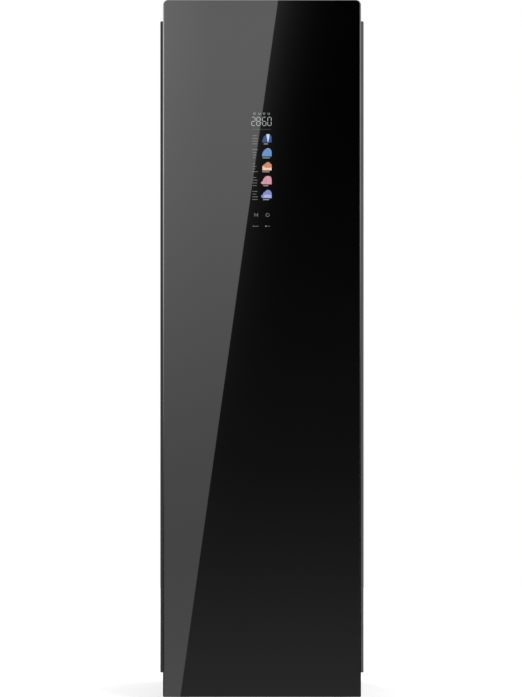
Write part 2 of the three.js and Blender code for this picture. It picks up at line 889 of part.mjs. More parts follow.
// Three shoulder hangers, hooked into grooves of the bar. Each swings on it from front to back.
const hanger = {
  hookGap: 0.6,
  hookThick: 5,
  hookWidth: 7,
  hookStart: -0.5,
  hookEnd: 3.9,
  neckDrop: 62,
  neckWidth: 14,
  span: 386,
  slope: 62,
  arm: 20,
  width: 24,
};
// How far out, as shares of half the span, each curve of the shoulders has its control point, and how far
// below the shoulders' top, as shares of the arm's height, its control points and its middle lie.
const shoulderReachShares = { top: 0.55, under: 0.5 };
const shoulderDropShares = { top: 0.5, under: 2, middle: 1.7 };
const shoulderTipShare = 0.33;
function hangerSolid(x) {
  const inner = bar.grooveRadius + hanger.hookGap;
  const outer = inner + hanger.hookThick;
  const hook = new THREE.Shape();
  hook.absarc(shakerY, barZ, outer, hanger.hookStart, hanger.hookEnd);
  hook.absarc(shakerY, barZ, inner, hanger.hookEnd, hanger.hookStart, true);
  const bendTop = barZ + outer * Math.sin(hanger.hookEnd);
  const bendLeft = shakerY - outer;
  const stemLeft = shakerY - hanger.hookThick / 2;
  const stemRight = shakerY + hanger.hookThick / 2;
  const neck = new THREE.Shape();
  neck.moveTo(bendLeft, barZ);
  neck.lineTo(bendLeft, bendTop - hanger.hookThick);
  neck.lineTo(stemLeft, barZ - outer - hanger.hookThick);
  neck.lineTo(stemLeft, barZ - hanger.neckDrop);
  neck.lineTo(stemRight, barZ - hanger.neckDrop);
  neck.lineTo(stemRight, barZ - outer - hanger.hookThick / 2);
  neck.lineTo(bendLeft + hanger.hookThick, bendTop);
  neck.lineTo(bendLeft + hanger.hookThick, barZ);
  const top = barZ - hanger.neckDrop + hanger.arm / 2;
  const half = hanger.span / 2;
  const tip = half - hanger.arm * shoulderTipShare;
  const tipTop = top - hanger.slope;
  const topReach = half * shoulderReachShares.top;
  const underReach = half * shoulderReachShares.under;
  const topBend = top - hanger.arm * shoulderDropShares.top;
  const underBend = top - hanger.arm * shoulderDropShares.under;
  const shoulders = new THREE.Shape();
  shoulders.moveTo(shakerY - hanger.neckWidth / 2, top);
  shoulders.quadraticCurveTo(shakerY - topReach, topBend, shakerY - half, tipTop);
  shoulders.lineTo(shakerY - tip, tipTop - hanger.arm);
  shoulders.quadraticCurveTo(
    shakerY - underReach,
    underBend,
    shakerY,
    top - hanger.arm * shoulderDropShares.middle,
  );
  shoulders.quadraticCurveTo(shakerY + underReach, underBend, shakerY + tip, tipTop - hanger.arm);
  shoulders.lineTo(shakerY + half, tipTop);
  shoulders.quadraticCurveTo(shakerY + topReach, topBend, shakerY + hanger.neckWidth / 2, top);
  return join(
    slab("x", hook, around(x, hanger.hookWidth), smallSides),
    slab("x", neck, around(x, hanger.hookWidth)),
    slab("x", shoulders, around(x, hanger.width)),
  );
}
for (const [place, notch] of [["left", 0], ["centre", 2], ["right", 4]]) {
  const swinging = carried(shaken, notchX(notch), shakerY, barZ);
  piece(swinging, "hanger_" + place, hangerSolid(notchX(notch)), darkPlastic);
}

// The control box stands on the ceiling panel behind the shaker.
const control = { width: 200, depth: 110, height: 44, fromBack: 14 };
piece(
  cabinet,
  "control_box",
  block(
    around(0, control.width),
    [linerBackRear - control.fromBack - control.depth, linerBackRear - control.fromBack],
    from(topDeck, control.height),
  ),
  darkPlastic,
);

// The lift-off shelf: a slotted rack that rests on the ledges.
const shelf = { thickness: 12, play: 1.5, margin: 20, slots: 12, slotDepth: 9, overhang: 6 };
const shelfHalf = linerInner - shelf.play;
const shelfY = [ledgeY[0] - shelf.overhang, ledgeY[1] + shelf.overhang];
const shelfZ = from(ledgeTop + fitGap, shelf.thickness);
const shelfLifted = carried(cabinet, 0, 0, shelfZ[0]);
const shelfPitch = (2 * (shelfHalf - shelf.margin)) / shelf.slots;
piece(
  shelfLifted,
  "shelf",
  cut(
    block(both(shelfHalf), shelfY, shelfZ),
    ...Array.from({ length: shelf.slots }, (_, n) => n - (shelf.slots - 1) / 2).flatMap((n) => [
      block(
        around(n * shelfPitch, shelfPitch - shelf.slotDepth),
        [shelfY[0] + shelf.margin, (shelfY[0] + shelfY[1] - shelf.slotDepth) / 2],
        [shelfZ[0] - overrun, shelfZ[1] + overrun],
      ),
      block(
        around(n * shelfPitch, shelfPitch - shelf.slotDepth),
        [(shelfY[0] + shelfY[1] + shelf.slotDepth) / 2, shelfY[1] - shelf.margin],
        [shelfZ[0] - overrun, shelfZ[1] + overrun],
      ),
    ]),
  ),
  deckPlastic,
);

// The deck under the clothes, with openings for the tanks, the lint filter, the air and the steam nozzle.
const deck = { thickness: 8 };
const deckZ = [deckHeight - deck.thickness, deckHeight];
const deckUnder = deckZ[0] - fitGap;
const bayRear = wellY[1] + bay.wall;
const returnY = from(bayRear + returnVent.behindBay, returnVent.length);
const filterY = from(returnY[1] + filter.behindVent, filter.depth);
const blowerX = steelInner - blower.fromSide;
const blowerZ = panFloor + blower.abovePan + blower.radius;
const blowerY = from(backFace - blower.fromBack, blower.depth);
const neckX = [blowerX + blower.neckInner, blowerX + blower.radius];
const outletBars = { count: 4, thickness: 3 };
const nozzle = { radius: 16, flangeRadius: 27, flange: 3, height: 14, below: 18, mouth: 5, play: 0.5 };
const boiler = {
  width: 104,
  depth: 86,
  fromWall: 26.2,
  behindBay: 14,
  foot: 58,
  top: 186,
  leg: 12,
  flange: 6,
  flangeOver: 4,
  pipe: 4.4,
};
const boilerX = from(-(linerInner - boiler.fromWall), boiler.width);
const boilerY = from(bayRear + boiler.behindBay, boiler.depth);
const nozzleX = (boilerX[0] + boilerX[1]) / 2;
const nozzleY = (boilerY[0] + boilerY[1]) / 2;
const outletY = [blowerY[0] + blower.wall, blowerY[1] - blower.wall];
const outletPitch = (outletY[1] - outletY[0]) / (outletBars.count + 1);
piece(
  cabinet,
  "deck",
  cut(
    block(both(linerInner - fitGap), [caseFront, linerBackFront - fitGap], deckZ),
    ...[wellX, mirrored(wellX)].map((xs) => block(xs, wellY, [deckZ[0] - overrun, deckZ[1] + overrun])),
    block(
      around(0, filter.width + 2 * filter.play),
      [filterY[0] - filter.play, filterY[1] + filter.play],
      [deckZ[0] - overrun, deckZ[1] + overrun],
    ),
    ...Array.from({ length: returnVent.count }, (_, n) =>
      block(
        around((n - (returnVent.count - 1) / 2) * returnVent.pitch, returnVent.width),
        returnY,
        [deckZ[0] - overrun, deckZ[1] + overrun],
      ),
    ),
    ...Array.from({ length: outletBars.count + 1 }, (_, n) =>
      block(
        [neckX[0] + blower.wall, neckX[1] - blower.wall],
        from(outletY[0] + n * outletPitch + outletBars.thickness / 2, outletPitch - outletBars.thickness),
        [deckZ[0] - overrun, deckZ[1] + overrun],
      ),
    ),
    rod("z", [nozzleX, nozzleY], nozzle.radius + nozzle.play, [deckZ[0] - overrun, deckZ[1] + overrun]),
  ),
  deckPlastic,
);

// The steam nozzle stands in the deck, over the steam generator's outlet pipe.
const nozzleTop = deckZ[1] + fitGap + nozzle.height;
const nozzleFoot = deckZ[0] - nozzle.below;
piece(
  cabinet,
  "steam_nozzle",
  cut(
    turned(
      [
        [0, nozzleFoot],
        [nozzle.radius, nozzleFoot],
        [nozzle.radius, deckZ[1] + fitGap],
        [nozzle.flangeRadius, deckZ[1] + fitGap],
        [nozzle.flangeRadius, deckZ[1] + fitGap + nozzle.flange],
        [nozzle.radius, nozzleTop],
        [0, nozzleTop],
      ],
      nozzleX,
      nozzleY,
    ),
    rod("z", [nozzleX, nozzleY], nozzle.mouth, [nozzleFoot - overrun, nozzleTop + overrun], smallSides),
  ),
  bareSteel,
);

// The two water tanks stand in a moulded double well and lift out of it by their folding handles.
piece(
  cabinet,
  "tank_bay",
  cut(
    block(
      both(wellX[1] + bay.wall),
      [wellY[0] - bay.wall, wellY[1] + bay.wall],
      [bayFoot, deckUnder],
    ),
    ...[wellX, mirrored(wellX)].map((xs) => block(xs, wellY, [wellFloor, deckUnder + overrun])),
    levelSlotAt(-tankCentreX, [wellY[0] - bay.wall - overrun, wellY[0] + overrun]),
    levelSlotAt(tankCentreX, [wellY[0] - bay.wall - overrun, wellY[0] + overrun]),
  ),
  darkPlastic,
);
const bail = {
  width: 112,
  arm: 9,
  thick: 6,
  fromFront: 18,
  pin: 2.5,
  ear: 7,
  earDepth: 12,
  pinPlay: 0.6,
  rise: 5,
};
const cap = { height: 6, behindBail: 13, fromRear: 8 };
const bailReach = tankDepth / 2 - bail.fromFront;
const capRadius = (tankDepth / 2 - bail.thick / 2 - cap.behindBail - cap.fromRear) / 2;
const capY = tankCentreY + tankDepth / 2 - cap.fromRear - capRadius;
const tankWidth = wellX[1] - wellX[0] - 2 * tank.play;
const tankTop = deckUnder - tank.belowDeck;
const tankZ = [wellFloor + fitGap, tankTop];
const lidZ = from(tankZ[1] + fitGap, tank.lidHeight);
const bailZ = lidZ[1] + bail.rise;
function waterTank(side, name) {
  const x = side * tankCentreX;
  const lifted = carried(cabinet, x, tankCentreY, tankZ[0]);
  const outerX = around(x, tankWidth);
  const outerY = around(tankCentreY, tankDepth);
  piece(
    lifted,
    name,
    cut(
      block(outerX, outerY, tankZ),
      block(
        [outerX[0] + tank.wall, outerX[1] - tank.wall],
        [outerY[0] + tank.wall, outerY[1] - tank.wall],
        [tankZ[0] + tank.wall, tankZ[1] + overrun],
      ),
    ),
    smokePlastic,
  );
  const pins = around(x, bail.width + bail.ear);
  const earAt = (edge, out) =>
    block(
      out > 0 ? [edge + fitGap, edge + fitGap + bail.ear] : [edge - fitGap - bail.ear, edge - fitGap],
      around(tankCentreY, bail.earDepth),
      [lidZ[1] - fitGap, bailZ + bail.earDepth / 2],
    );
  const arms = around(x, bail.width);
  piece(
    lifted,
    name + "_lid",
    cut(
      join(
        block(outerX, outerY, lidZ),
        earAt(arms[0], -1),
        earAt(arms[1], 1),
        rod("z", [x, capY], capRadius, from(lidZ[1] - fitGap, cap.height + fitGap)),
      ),
      rod(
        "x",
        [tankCentreY, bailZ],
        bail.pin + bail.pinPlay,
        [pins[0] - bail.ear, pins[1] + bail.ear],
        smallSides,
      ),
    ),
    deckPlastic,
  );
  const folded = carried(lifted, x, tankCentreY, bailZ);
  const armY = [tankCentreY - bailReach, tankCentreY + bail.thick / 2];
  const bailSpanZ = around(bailZ, bail.thick);
  piece(
    folded,
    name + "_handle",
    join(
      cut(
        block(arms, armY, bailSpanZ),
        block(
          [arms[0] + bail.arm, arms[1] - bail.arm],
          [armY[0] + bail.arm, armY[1] + overrun],
          [bailSpanZ[0] - overrun, bailSpanZ[1] + overrun],
        ),
      ),
      rod("x", [tankCentreY, bailZ], bail.pin, [pins[0], arms[0] + bail.arm], smallSides),
      rod("x", [tankCentreY, bailZ], bail.pin, [arms[1] - bail.arm, pins[1]], smallSides),
    ),
    darkPlastic,
  );
}
waterTank(-1, "supply_tank");
waterTank(1, "drain_tank");

// The lint filter hangs in its slot of the deck by a lip and lifts out by its tab.
const filterZ = [deckZ[1] - filter.height, deckZ[1] + fitGap];
const meshWindow = { margin: 8, bars: 5, bar: 3 };
const windowWidth = (filter.width - 2 * meshWindow.margin + meshWindow.bar) / meshWindow.bars;
const filterLifted = carried(cabinet, 0, filterY[0], filterZ[0]);
piece(
  filterLifted,
  "lint_filter",
  cut(
    join(
      block(around(0, filter.width), filterY, filterZ),
      block(
        around(0, filter.width + 2 * filter.lip),
        [filterY[0] - filter.lip, filterY[1] + filter.lip],
        from(filterZ[1], filter.flange),
      ),
      block(
        around(0, filter.tabWidth),
        around((filterY[0] + filterY[1]) / 2, filter.flange),
        from(filterZ[1], filter.flange + filter.tab),
      ),
    ),
    ...Array.from({ length: meshWindow.bars }, (_, n) =>
      block(
        around((n - (meshWindow.bars - 1) / 2) * windowWidth, windowWidth - meshWindow.bar),
        [filterY[0] - overrun, filterY[1] + overrun],
        [filterZ[0] + meshWindow.margin, deckZ[0] - meshWindow.margin],
      ),
    ),
  ),
  deckPlastic,
);

// The heat pump. Its two finned coils stand behind the filter on end plates that reach the base pan, and its
// compressor stands at the left rear. A copper line is brazed to each coil and ends at a stub of the compressor.
const compressor = {
  radius: 58,
  fromSide: 84.8,
  fromBack: 127,
  top: 196,
  shoulder: 26,
  domeSteps: 4,
  plate: 5,
  plateWidth: 138,
};
const compressorX = -(steelInner - compressor.fromSide);
const compressorY = backFace - compressor.fromBack;
const stub = { radius: 6, rise: 8, suctionX: 26, suctionY: -26 };
const line = { radius: 4, steps: 16, bend: 22, insideEdge: 14, suctionBelowTop: 26, dischargeBelowTop: 10 };
const coilX = [boilerX[1] + boiler.flangeOver + coil.besideBoiler, blowerX + blower.radius];
const coilTop = deckUnder - coil.belowDeck;
const hoodY = [hoodFront, blowerY[0] + hood.wall];
const coilDepth = (hoodY[0] - hood.gap - filterY[1] - 2 * coil.apart) / 2;
const evaporatorY = from(filterY[1] + coil.apart, coilDepth);
const condenserY = from(evaporatorY[1] + coil.apart, coilDepth);
function finnedCoil(ys) {
  const fins = coil.fins + 1;
  const pitch = (coilX[1] - coilX[0] - coil.plate) / fins;
  const sheets = Array.from({ length: fins + 1 }, (_, n) =>
    block(
      from(coilX[0] + n * pitch, coil.plate),
      ys,
      n === 0 || n === fins ? [standsOnPan, coilTop] : [coil.finFoot, coilTop - coil.plate],
    ),
  );
  const tubePitch = (coilTop - coil.finFoot) / coil.tubes;
  const tubes = Array.from({ length: coil.tubes }, (_, n) =>
    rod(
      "x",
      [(ys[0] + ys[1]) / 2, coil.finFoot + (n + 1 / 2) * tubePitch],
      coil.tubeRadius,
      coilX,
      coil.tubeSides,
    ),
  );
  return join(...sheets, ...tubes);
}
// A line from a coil's left end plate, over to a stub of the compressor and down onto it.
function copperLine(coilY, height, stubX, stubY, stubTop) {
  const end = coilX[0] + coil.plate / 2;
  return pipe(
    [
      [end, coilY, height],
      [end - line.bend, coilY, height],
      [stubX + line.bend, (coilY + stubY) / 2, height],
      [stubX, stubY, height - line.bend / 2],
      [stubX, stubY, stubTop + fitGap],
    ],
    line.radius,
    line.steps,
  );
}
const stubTop = compressor.top + stub.rise;
piece(
  cabinet,
  "evaporator",
  join(
    finnedCoil(evaporatorY),
    copperLine(
      evaporatorY[1] - line.insideEdge,
      coilTop - line.suctionBelowTop,
      compressorX + stub.suctionX,
      compressorY + stub.suctionY,
      stubTop,
    ),
  ),
  finAluminium,
);
piece(
  cabinet,
  "condenser",
  join(
    finnedCoil(condenserY),
    copperLine(
      condenserY[1] - line.insideEdge,
      coilTop - line.dischargeBelowTop,
      compressorX,
      compressorY,
      stubTop,
    ),
  ),
  finAluminium,
);

const canFoot = standsOnPan + compressor.plate;
const dome = Array.from({ length: compressor.domeSteps }, (_, n) => {
  const angle = (n / compressor.domeSteps) * (Math.PI / 2);
  return [
    compressor.radius * Math.cos(angle),
    compressor.top - compressor.shoulder + compressor.shoulder * Math.sin(angle),
  ];
});
const stubAt = (x, y) =>
  rod("z", [x, y], stub.radius, [compressor.top - compressor.shoulder, stubTop], smallSides);
piece(
  cabinet,
  "compressor",
  join(
    turned(
      [[0, canFoot - fitGap], [compressor.radius, canFoot - fitGap], ...dome, [0, compressor.top]],
      compressorX,
      compressorY,
    ),
    block(
      around(compressorX, compressor.plateWidth),
      around(compressorY, compressor.plateWidth),
      [standsOnPan, canFoot],
    ),
    stubAt(compressorX, compressorY),
    stubAt(compressorX + stub.suctionX, compressorY + stub.suctionY),
  ),
  darkSteel,
);

// The steam generator: a boiler on legs whose outlet pipe rises into the nozzle.
const boilerSeam = (boiler.foot + boiler.top) / 2;
piece(
  cabinet,
  "steam_generator",
  join(
    block(boilerX, boilerY, [boiler.foot, boiler.top]),
    block(
      [boilerX[0] - boiler.flangeOver, boilerX[1] + boiler.flangeOver],
      [boilerY[0] - boiler.flangeOver, boilerY[1] + boiler.flangeOver],
      around(boilerSeam, boiler.flange),
    ),
    ...boilerX.flatMap((x, i) =>
      boilerY.map((y, j) =>
        block(
          i === 0 ? from(x, boiler.leg) : [x - boiler.leg, x],
          j === 0 ? from(y, boiler.leg) : [y - boiler.leg, y],
          [standsOnPan, boiler.foot + fitGap],
        ),
      ),
    ),
    rod("z", [nozzleX, nozzleY], boiler.pipe, [boiler.top - fitGap, deckZ[0]], smallSides),
  ),
  bareSteel,
);

// Two pumps on the pan: one feeds the boiler, the other sends the condensate to the drain tank.
const pump = {
  width: 40,
  depth: 56,
  height: 34,
  canRadius: 16,
  canHeight: 36,
  spout: 4,
  spoutReach: 12,
  apart: 6,
};
function waterPump(name, x, y) {
  const headTop = standsOnPan + pump.height;
  piece(
    cabinet,
    name,
    join(
      block(around(x, pump.width), around(y, pump.depth), [standsOnPan, headTop]),
      rod("z", [x, y], pump.canRadius, from(headTop - fitGap, pump.canHeight)),
      rod("y", [standsOnPan + pump.height / 2, x], pump.spout, [
        y - pump.depth / 2 - pump.spoutReach,
        y - pump.depth / 2 + pump.spout,
      ], smallSides),
    ),
    darkPlastic,
  );
}
waterPump("feed_pump", boilerX[0] - pump.apart - pump.width / 2, nozzleY);
const plateRight = compressorX + compressor.plateWidth / 2;
waterPump("drain_pump", (plateRight + blowerX - blower.radius) / 2, compressorY);

// The blower draws air through the coils into the hood on its housing and sends it up its neck to the deck.
function blowerForm(inset, ys) {
  const radius = blower.radius - inset;
  return join(
    rod("y", [blowerZ, blowerX], radius, ys, bigSides),
    block([neckX[0] + inset, neckX[1] - inset], ys, [blowerZ, inset > 0 ? deckUnder + overrun : deckUnder]),
  );
}
const hoodX = [coilX[0] - hood.gap, coilX[1]];
const hoodZ = [hood.foot, coilTop + hood.overCoil];
const hoodSolid = cut(
  block(hoodX, hoodY, hoodZ),
  block(
    [hoodX[0] + hood.wall, hoodX[1] - hood.wall],
    [hoodY[0] - overrun, hoodY[1] - hood.wall],
    [hoodZ[0] + hood.wall, hoodZ[1] - hood.wall],
  ),
);
piece(
  cabinet,
  "blower_housing",
  cut(
    join(hoodSolid, blowerForm(0, blowerY)),
    blowerForm(blower.wall, [blowerY[0] + blower.wall, blowerY[1] - blower.wall]),
    rod("y", [blowerZ, blowerX], blower.inletRadius, [
      blowerY[0] - overrun,
      blowerY[0] + blower.wall + overrun,
    ]),
    rod("y", [blowerZ, blowerX], blower.shaftRadius + blower.shaftPlay, [
      blowerY[1] - blower.wall - overrun,
      blowerY[1] + overrun,
    ]),
  ),
  darkPlastic,
);
const wheelY = [blowerY[0] + blower.wall + blower.wheelGap, blowerY[1] - blower.wall - blower.wheelGap];
const spinning = carried(cabinet, blowerX, wheelY[0], blowerZ);
function bladeSolid(n) {
  const geometry = new THREE.BoxGeometry(blower.bladeDepth, wheelY[1] - wheelY[0], blower.bladeThick);
  geometry.translate(blower.wheelRadius - blower.bladeDepth / 2 - fitGap, (wheelY[0] + wheelY[1]) / 2, 0);
  geometry.rotateY((n / blower.blades) * 2 * Math.PI);
  geometry.translate(blowerX, 0, blowerZ);
  return toSolid(geometry);
}
piece(
  spinning,
  "blower_wheel",
  join(
    rod("y", [blowerZ, blowerX], blower.wheelRadius, [wheelY[1] - blower.disc, wheelY[1]], bigSides),
    cut(
      rod("y", [blowerZ, blowerX], blower.wheelRadius, from(wheelY[0], blower.disc), bigSides),
      rod(
        "y",
        [blowerZ, blowerX],
        blower.wheelRadius - blower.bladeDepth,
        [wheelY[0] - overrun, wheelY[0] + blower.disc + overrun],
        bigSides,
      ),
    ),
    rod(
      "y",
      [blowerZ, blowerX],
      blower.shaftRadius,
      [wheelY[1] - blower.disc, blowerY[1] + blower.shaftReach],
      smallSides,
    ),
    ...Array.from({ length: blower.blades }, (_, n) => bladeSolid(n)),
  ),
  darkPlastic,
);
piece(
  cabinet,
  "blower_motor",
  cut(
    rod("y", [blowerZ, blowerX], blower.motorRadius, from(blowerY[1] + fitGap, blower.motorLength)),
    rod("y", [blowerZ, blowerX], blower.shaftRadius + blower.shaftPlay, [
      blowerY[1] - overrun,
      blowerY[1] + blower.shaftReach + blower.shaftPlay,
    ]),
  ),
  bareSteel,
);

export default cabinet;
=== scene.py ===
import math

import bpy
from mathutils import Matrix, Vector


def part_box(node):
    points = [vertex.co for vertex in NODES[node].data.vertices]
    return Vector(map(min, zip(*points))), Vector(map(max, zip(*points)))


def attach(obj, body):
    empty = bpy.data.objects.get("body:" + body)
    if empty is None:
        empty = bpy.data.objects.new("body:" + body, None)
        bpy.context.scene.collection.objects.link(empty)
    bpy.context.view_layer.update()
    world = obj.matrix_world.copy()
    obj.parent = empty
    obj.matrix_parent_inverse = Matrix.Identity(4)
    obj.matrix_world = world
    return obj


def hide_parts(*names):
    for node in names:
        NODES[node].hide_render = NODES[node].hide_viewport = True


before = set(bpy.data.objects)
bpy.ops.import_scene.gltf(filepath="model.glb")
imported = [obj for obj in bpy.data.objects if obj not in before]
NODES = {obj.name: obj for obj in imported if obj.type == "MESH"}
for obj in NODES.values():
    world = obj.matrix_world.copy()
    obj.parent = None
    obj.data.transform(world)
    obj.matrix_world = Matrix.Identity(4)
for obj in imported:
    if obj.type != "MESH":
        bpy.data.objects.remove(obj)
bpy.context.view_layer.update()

# The camera stands far off, straight in front of the middle of the door, so that the door's edges stay
# parallel. As in the photograph, the picture's edges trim the thin lip above and below the glass.
MM = 0.001
QUARTER_TURN = math.pi / 2
CAMERA_DISTANCE = 9.0
CAMERA_SIGHT = 60
CAMERA_LEFT = 2.57 * MM
TRIM = 1 * MM
SENSOR = 36
PICTURE_ROWS = 697


def low(name):
    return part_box(name)[0]


def high(name):
    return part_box(name)[1]


door_foot = low("door_rim").z
door_top = high("door_rim").z
door_half = high("door_rim").x
face_y = low("door_glass").y
door_middle = (door_foot + door_top) / 2
framed_height = door_top - door_foot - 2 * TRIM
camera_data = bpy.data.cameras.new("studio_camera")
camera_data.sensor_width = SENSOR
camera_data.lens = SENSOR * CAMERA_DISTANCE / framed_height
camera_data.clip_end = CAMERA_SIGHT
camera = bpy.data.objects.new("studio_camera", camera_data)
camera.location = (-CAMERA_LEFT, face_y - CAMERA_DISTANCE, door_middle)
camera.rotation_euler = (QUARTER_TURN, 0, 0)
bpy.context.scene.collection.objects.link(camera)
bpy.context.scene.camera = camera
bpy.context.scene.view_settings.view_transform = "Standard"

# Studio. The floor and the air around look white and light the cabinet at a plain level. Reflections see the
# air and not the floor.
AIR_LIGHT = 0.55
FLOOR_SIDE = 8.0
FLOOR_COLOR = (0.86, 0.86, 0.86)
FLOOR_FADE = (1.4, 3.6)
FLOOR_LIFTS = (0.36, 0.56)
WHITE = (1, 1, 1, 1)


def assign(made, settings):
    for key, value in settings.items():
        setattr(made, key, value)


def set_inputs(tree, made, inputs):
    """Links a shader node's inputs to sockets or gives them values, by name or number."""
    for key, value in inputs.items():
        if isinstance(value, bpy.types.NodeSocket):
            tree.links.new(value, made.inputs[key])
        else:
            made.inputs[key].default_value = value


def node(tree, kind, inputs=None, **settings):
    """A shader node with its settings and its inputs."""
    made = tree.nodes.new(kind)
    assign(made, settings)
    set_inputs(tree, made, inputs or {})
    return made


def math_node(tree, operation, first, second=0.0):
    return node(tree, "ShaderNodeMath", {0: first, 1: second}, operation=operation).outputs[0]


def map_range(tree, value, reach, ends=(0, 1)):
    """A value moved from one range into another and held at its ends."""
    limits = dict(zip(("From Min", "From Max", "To Min", "To Max"), (*reach, *ends)))
    return node(tree, "ShaderNodeMapRange", {"Value": value, **limits}).outputs[0]


def seen_white(tree):
    """1 for the rays that show the white studio: the camera's, and reflected and transmitted ones."""
    path = node(tree, "ShaderNodeLightPath").outputs
    shiny = math_node(tree, "MAXIMUM", path["Is Glossy Ray"], path["Is Transmission Ray"])
    return math_node(tree, "MAXIMUM", path["Is Camera Ray"], shiny)


air = bpy.data.worlds.new("studio_air")
bpy.context.scene.world = air
air.use_nodes = True
air_strength = map_range(air.node_tree, seen_white(air.node_tree), (0, 1), (AIR_LIGHT, 1))
set_inputs(air.node_tree, air.node_tree.nodes["Background"], {"Color": WHITE, "Strength": air_strength})


def deselect():
    bpy.ops.object.select_all(action="DESELECT")


def select_only(piece):
    deselect()
    piece.select_set(True)
    bpy.context.view_layer.objects.active = piece


def settle(piece, name):
    """Names a new piece and puts its place, turn and size into its mesh."""
    select_only(piece)
    bpy.ops.object.transform_apply(location=True, rotation=True, scale=True)
    piece.name = name
    piece.data.name = name
    return piece


def plane(name, place, turn, width, height):
    """A flat sheet about a place."""
    deselect()
    bpy.ops.mesh.primitive_plane_add(size=1, location=place, rotation=turn)
    bpy.context.object.scale = (width, height, 1)
    return settle(bpy.context.object, name)


def new_material(name):
    made = bpy.data.materials.new(name)
    made.use_nodes = True
    return made, made.node_tree, made.node_tree.nodes["Principled BSDF"]


floor = plane("studio_floor", (0, 0, 0), (0, 0, 0), FLOOR_SIDE, FLOOR_SIDE)
floor.visible_glossy = False
floor_material, floor_tree, floor_shader = new_material("studio_floor")
floor_eye = node(floor_tree, "ShaderNodeLightPath").outputs["Is Camera Ray"]
floor_place = node(floor_tree, "ShaderNodeTexCoord").outputs["Object"]
floor_reach = node(floor_tree, "ShaderNodeVectorMath", {0: floor_place}, operation="LENGTH").outputs["Value"]
floor_lift = map_range(floor_tree, floor_reach, FLOOR_FADE, FLOOR_LIFTS)
floor_look = {
    "Base Color": (*FLOOR_COLOR, 1),
    "Roughness": 1,
    "Specular IOR Level": 0,
    "Emission Color": WHITE,
    "Emission Strength": math_node(floor_tree, "MULTIPLY", floor_eye, floor_lift),
}
set_inputs(floor_tree, floor_shader, floor_look)
floor.data.materials.append(floor_material)

# The reflected mask. Each point of the door mirrors the point of the mask that is MIRROR times as far from
# the camera's axis. A slanted line parts the softbox on its left from the dark flag on its right.
MASK_DISTANCE = 12.0
MASK_WIDTH = 1.6
MASK_HEIGHT = 4.6
MIRROR = 1 + MASK_DISTANCE / CAMERA_DISTANCE
PIXEL = framed_height / PICTURE_ROWS
DOOR_CENTRE_PIXEL = 261.97
LINE_TOP_PIXEL = 278.1
LINE_FOOT_PIXEL = 180.2
line_top = (LINE_TOP_PIXEL - DOOR_CENTRE_PIXEL) * PIXEL * MIRROR
line_foot = (LINE_FOOT_PIXEL - DOOR_CENTRE_PIXEL) * PIXEL * MIRROR
SOFTBOX = [(0.0, 1.62), (0.1, 1.42), (0.28, 1.25), (0.57, 2.0), (0.86, 2.9), (1.0, 3.05)]
FLAG = [(0.0, 0.48), (0.08, 0.37), (0.2, 0.2), (0.34, 0.1), (0.57, 0.045), (0.8, 0.0), (1.0, 0.0)]
SOFTBOX_FADE = 0.17
SOFTBOX_FADE_REACH = 0.3
SOFTBOX_FADE_POWER = 2.0
GLOW = 0.42
GLOW_FALL = 0.11
GLOW_POWER = 2.4
BRIGHTEST = 4.0


def ramp(tree, fac, stops):
    """A grey ramp through (place, radiance) stops, given as radiance."""
    made = node(tree, "ShaderNodeValToRGB", {"Fac": fac})
    made.color_ramp.interpolation = "B_SPLINE"
    elements = made.color_ramp.elements
    for place, radiance in stops[1:-1]:
        elements.new(place)
    for element, (place, radiance) in zip(elements, stops):
        element.position = place
        element.color = (*[radiance / BRIGHTEST] * 3, 1)
    return math_node(tree, "MULTIPLY", made.outputs["Color"], BRIGHTEST)


def reflected_card(name, place, turn, width, height):
    """A glowing sheet that only reflections see. Gives its node tree, its glow and its points' axes."""
    card = plane(name, place, turn, width, height)
    made, tree, _ = new_material(name)
    tree.nodes.clear()
    glow = node(tree, "ShaderNodeEmission")
    node(tree, "ShaderNodeOutputMaterial", {"Surface": glow.outputs[0]})
    axes = node(tree, "ShaderNodeSeparateXYZ", {0: node(tree, "ShaderNodeTexCoord").outputs["Object"]})
    card.data.materials.append(made)
    card.visible_camera = False
    card.visible_diffuse = False
    card.visible_shadow = False
    card.visible_transmission = False
    return tree, glow, axes.outputs


mask_tree, mask_glow, mask_axes = reflected_card(
    "mirror_mask", (0, face_y - MASK_DISTANCE, door_middle), (QUARTER_TURN, 0, 0), MASK_WIDTH, MASK_HEIGHT
)


def mask_math(operation, first, second=0.0):
    return math_node(mask_tree, operation, first, second)


# The mask's height runs from 0, where the door's foot mirrors it, to 1, where the door's top does.
mirrored_half = (door_top - door_foot) * MIRROR / 2
mask_z = map_range(mask_tree, mask_axes["Z"], (door_middle - mirrored_half, door_middle + mirrored_half))
line_run = mask_math("MULTIPLY", mask_z, line_top - line_foot)
line_x = mask_math("ADD", line_run, line_foot + CAMERA_LEFT * (MIRROR - 1))
beyond_line = mask_math("SUBTRACT", mask_axes["X"], line_x)
is_flag = mask_math("GREATER_THAN", beyond_line, 0)
falls = mask_math("EXPONENT", mask_math("DIVIDE", beyond_line, -GLOW_FALL))
glow_height = mask_math("POWER", mask_z, GLOW_POWER)
flag_glow = mask_math("MULTIPLY", mask_math("MULTIPLY", falls, GLOW), glow_height)
flag_value = mask_math("ADD", ramp(mask_tree, mask_z, FLAG), flag_glow)
mirrored_edge = -door_half * MIRROR
fade_reach = (mirrored_edge, mirrored_edge + SOFTBOX_FADE_REACH)
softbox_fade = map_range(mask_tree, mask_axes["X"], fade_reach, (0, SOFTBOX_FADE))
softbox_loss = mask_math("MULTIPLY", softbox_fade, mask_math("POWER", mask_z, SOFTBOX_FADE_POWER))
softbox_kept = mask_math("SUBTRACT", 1.0, softbox_loss)
softbox_value = mask_math("MULTIPLY", ramp(mask_tree, mask_z, SOFTBOX), softbox_kept)
mask_value = map_range(mask_tree, is_flag, (0, 1), (softbox_value, flag_value))
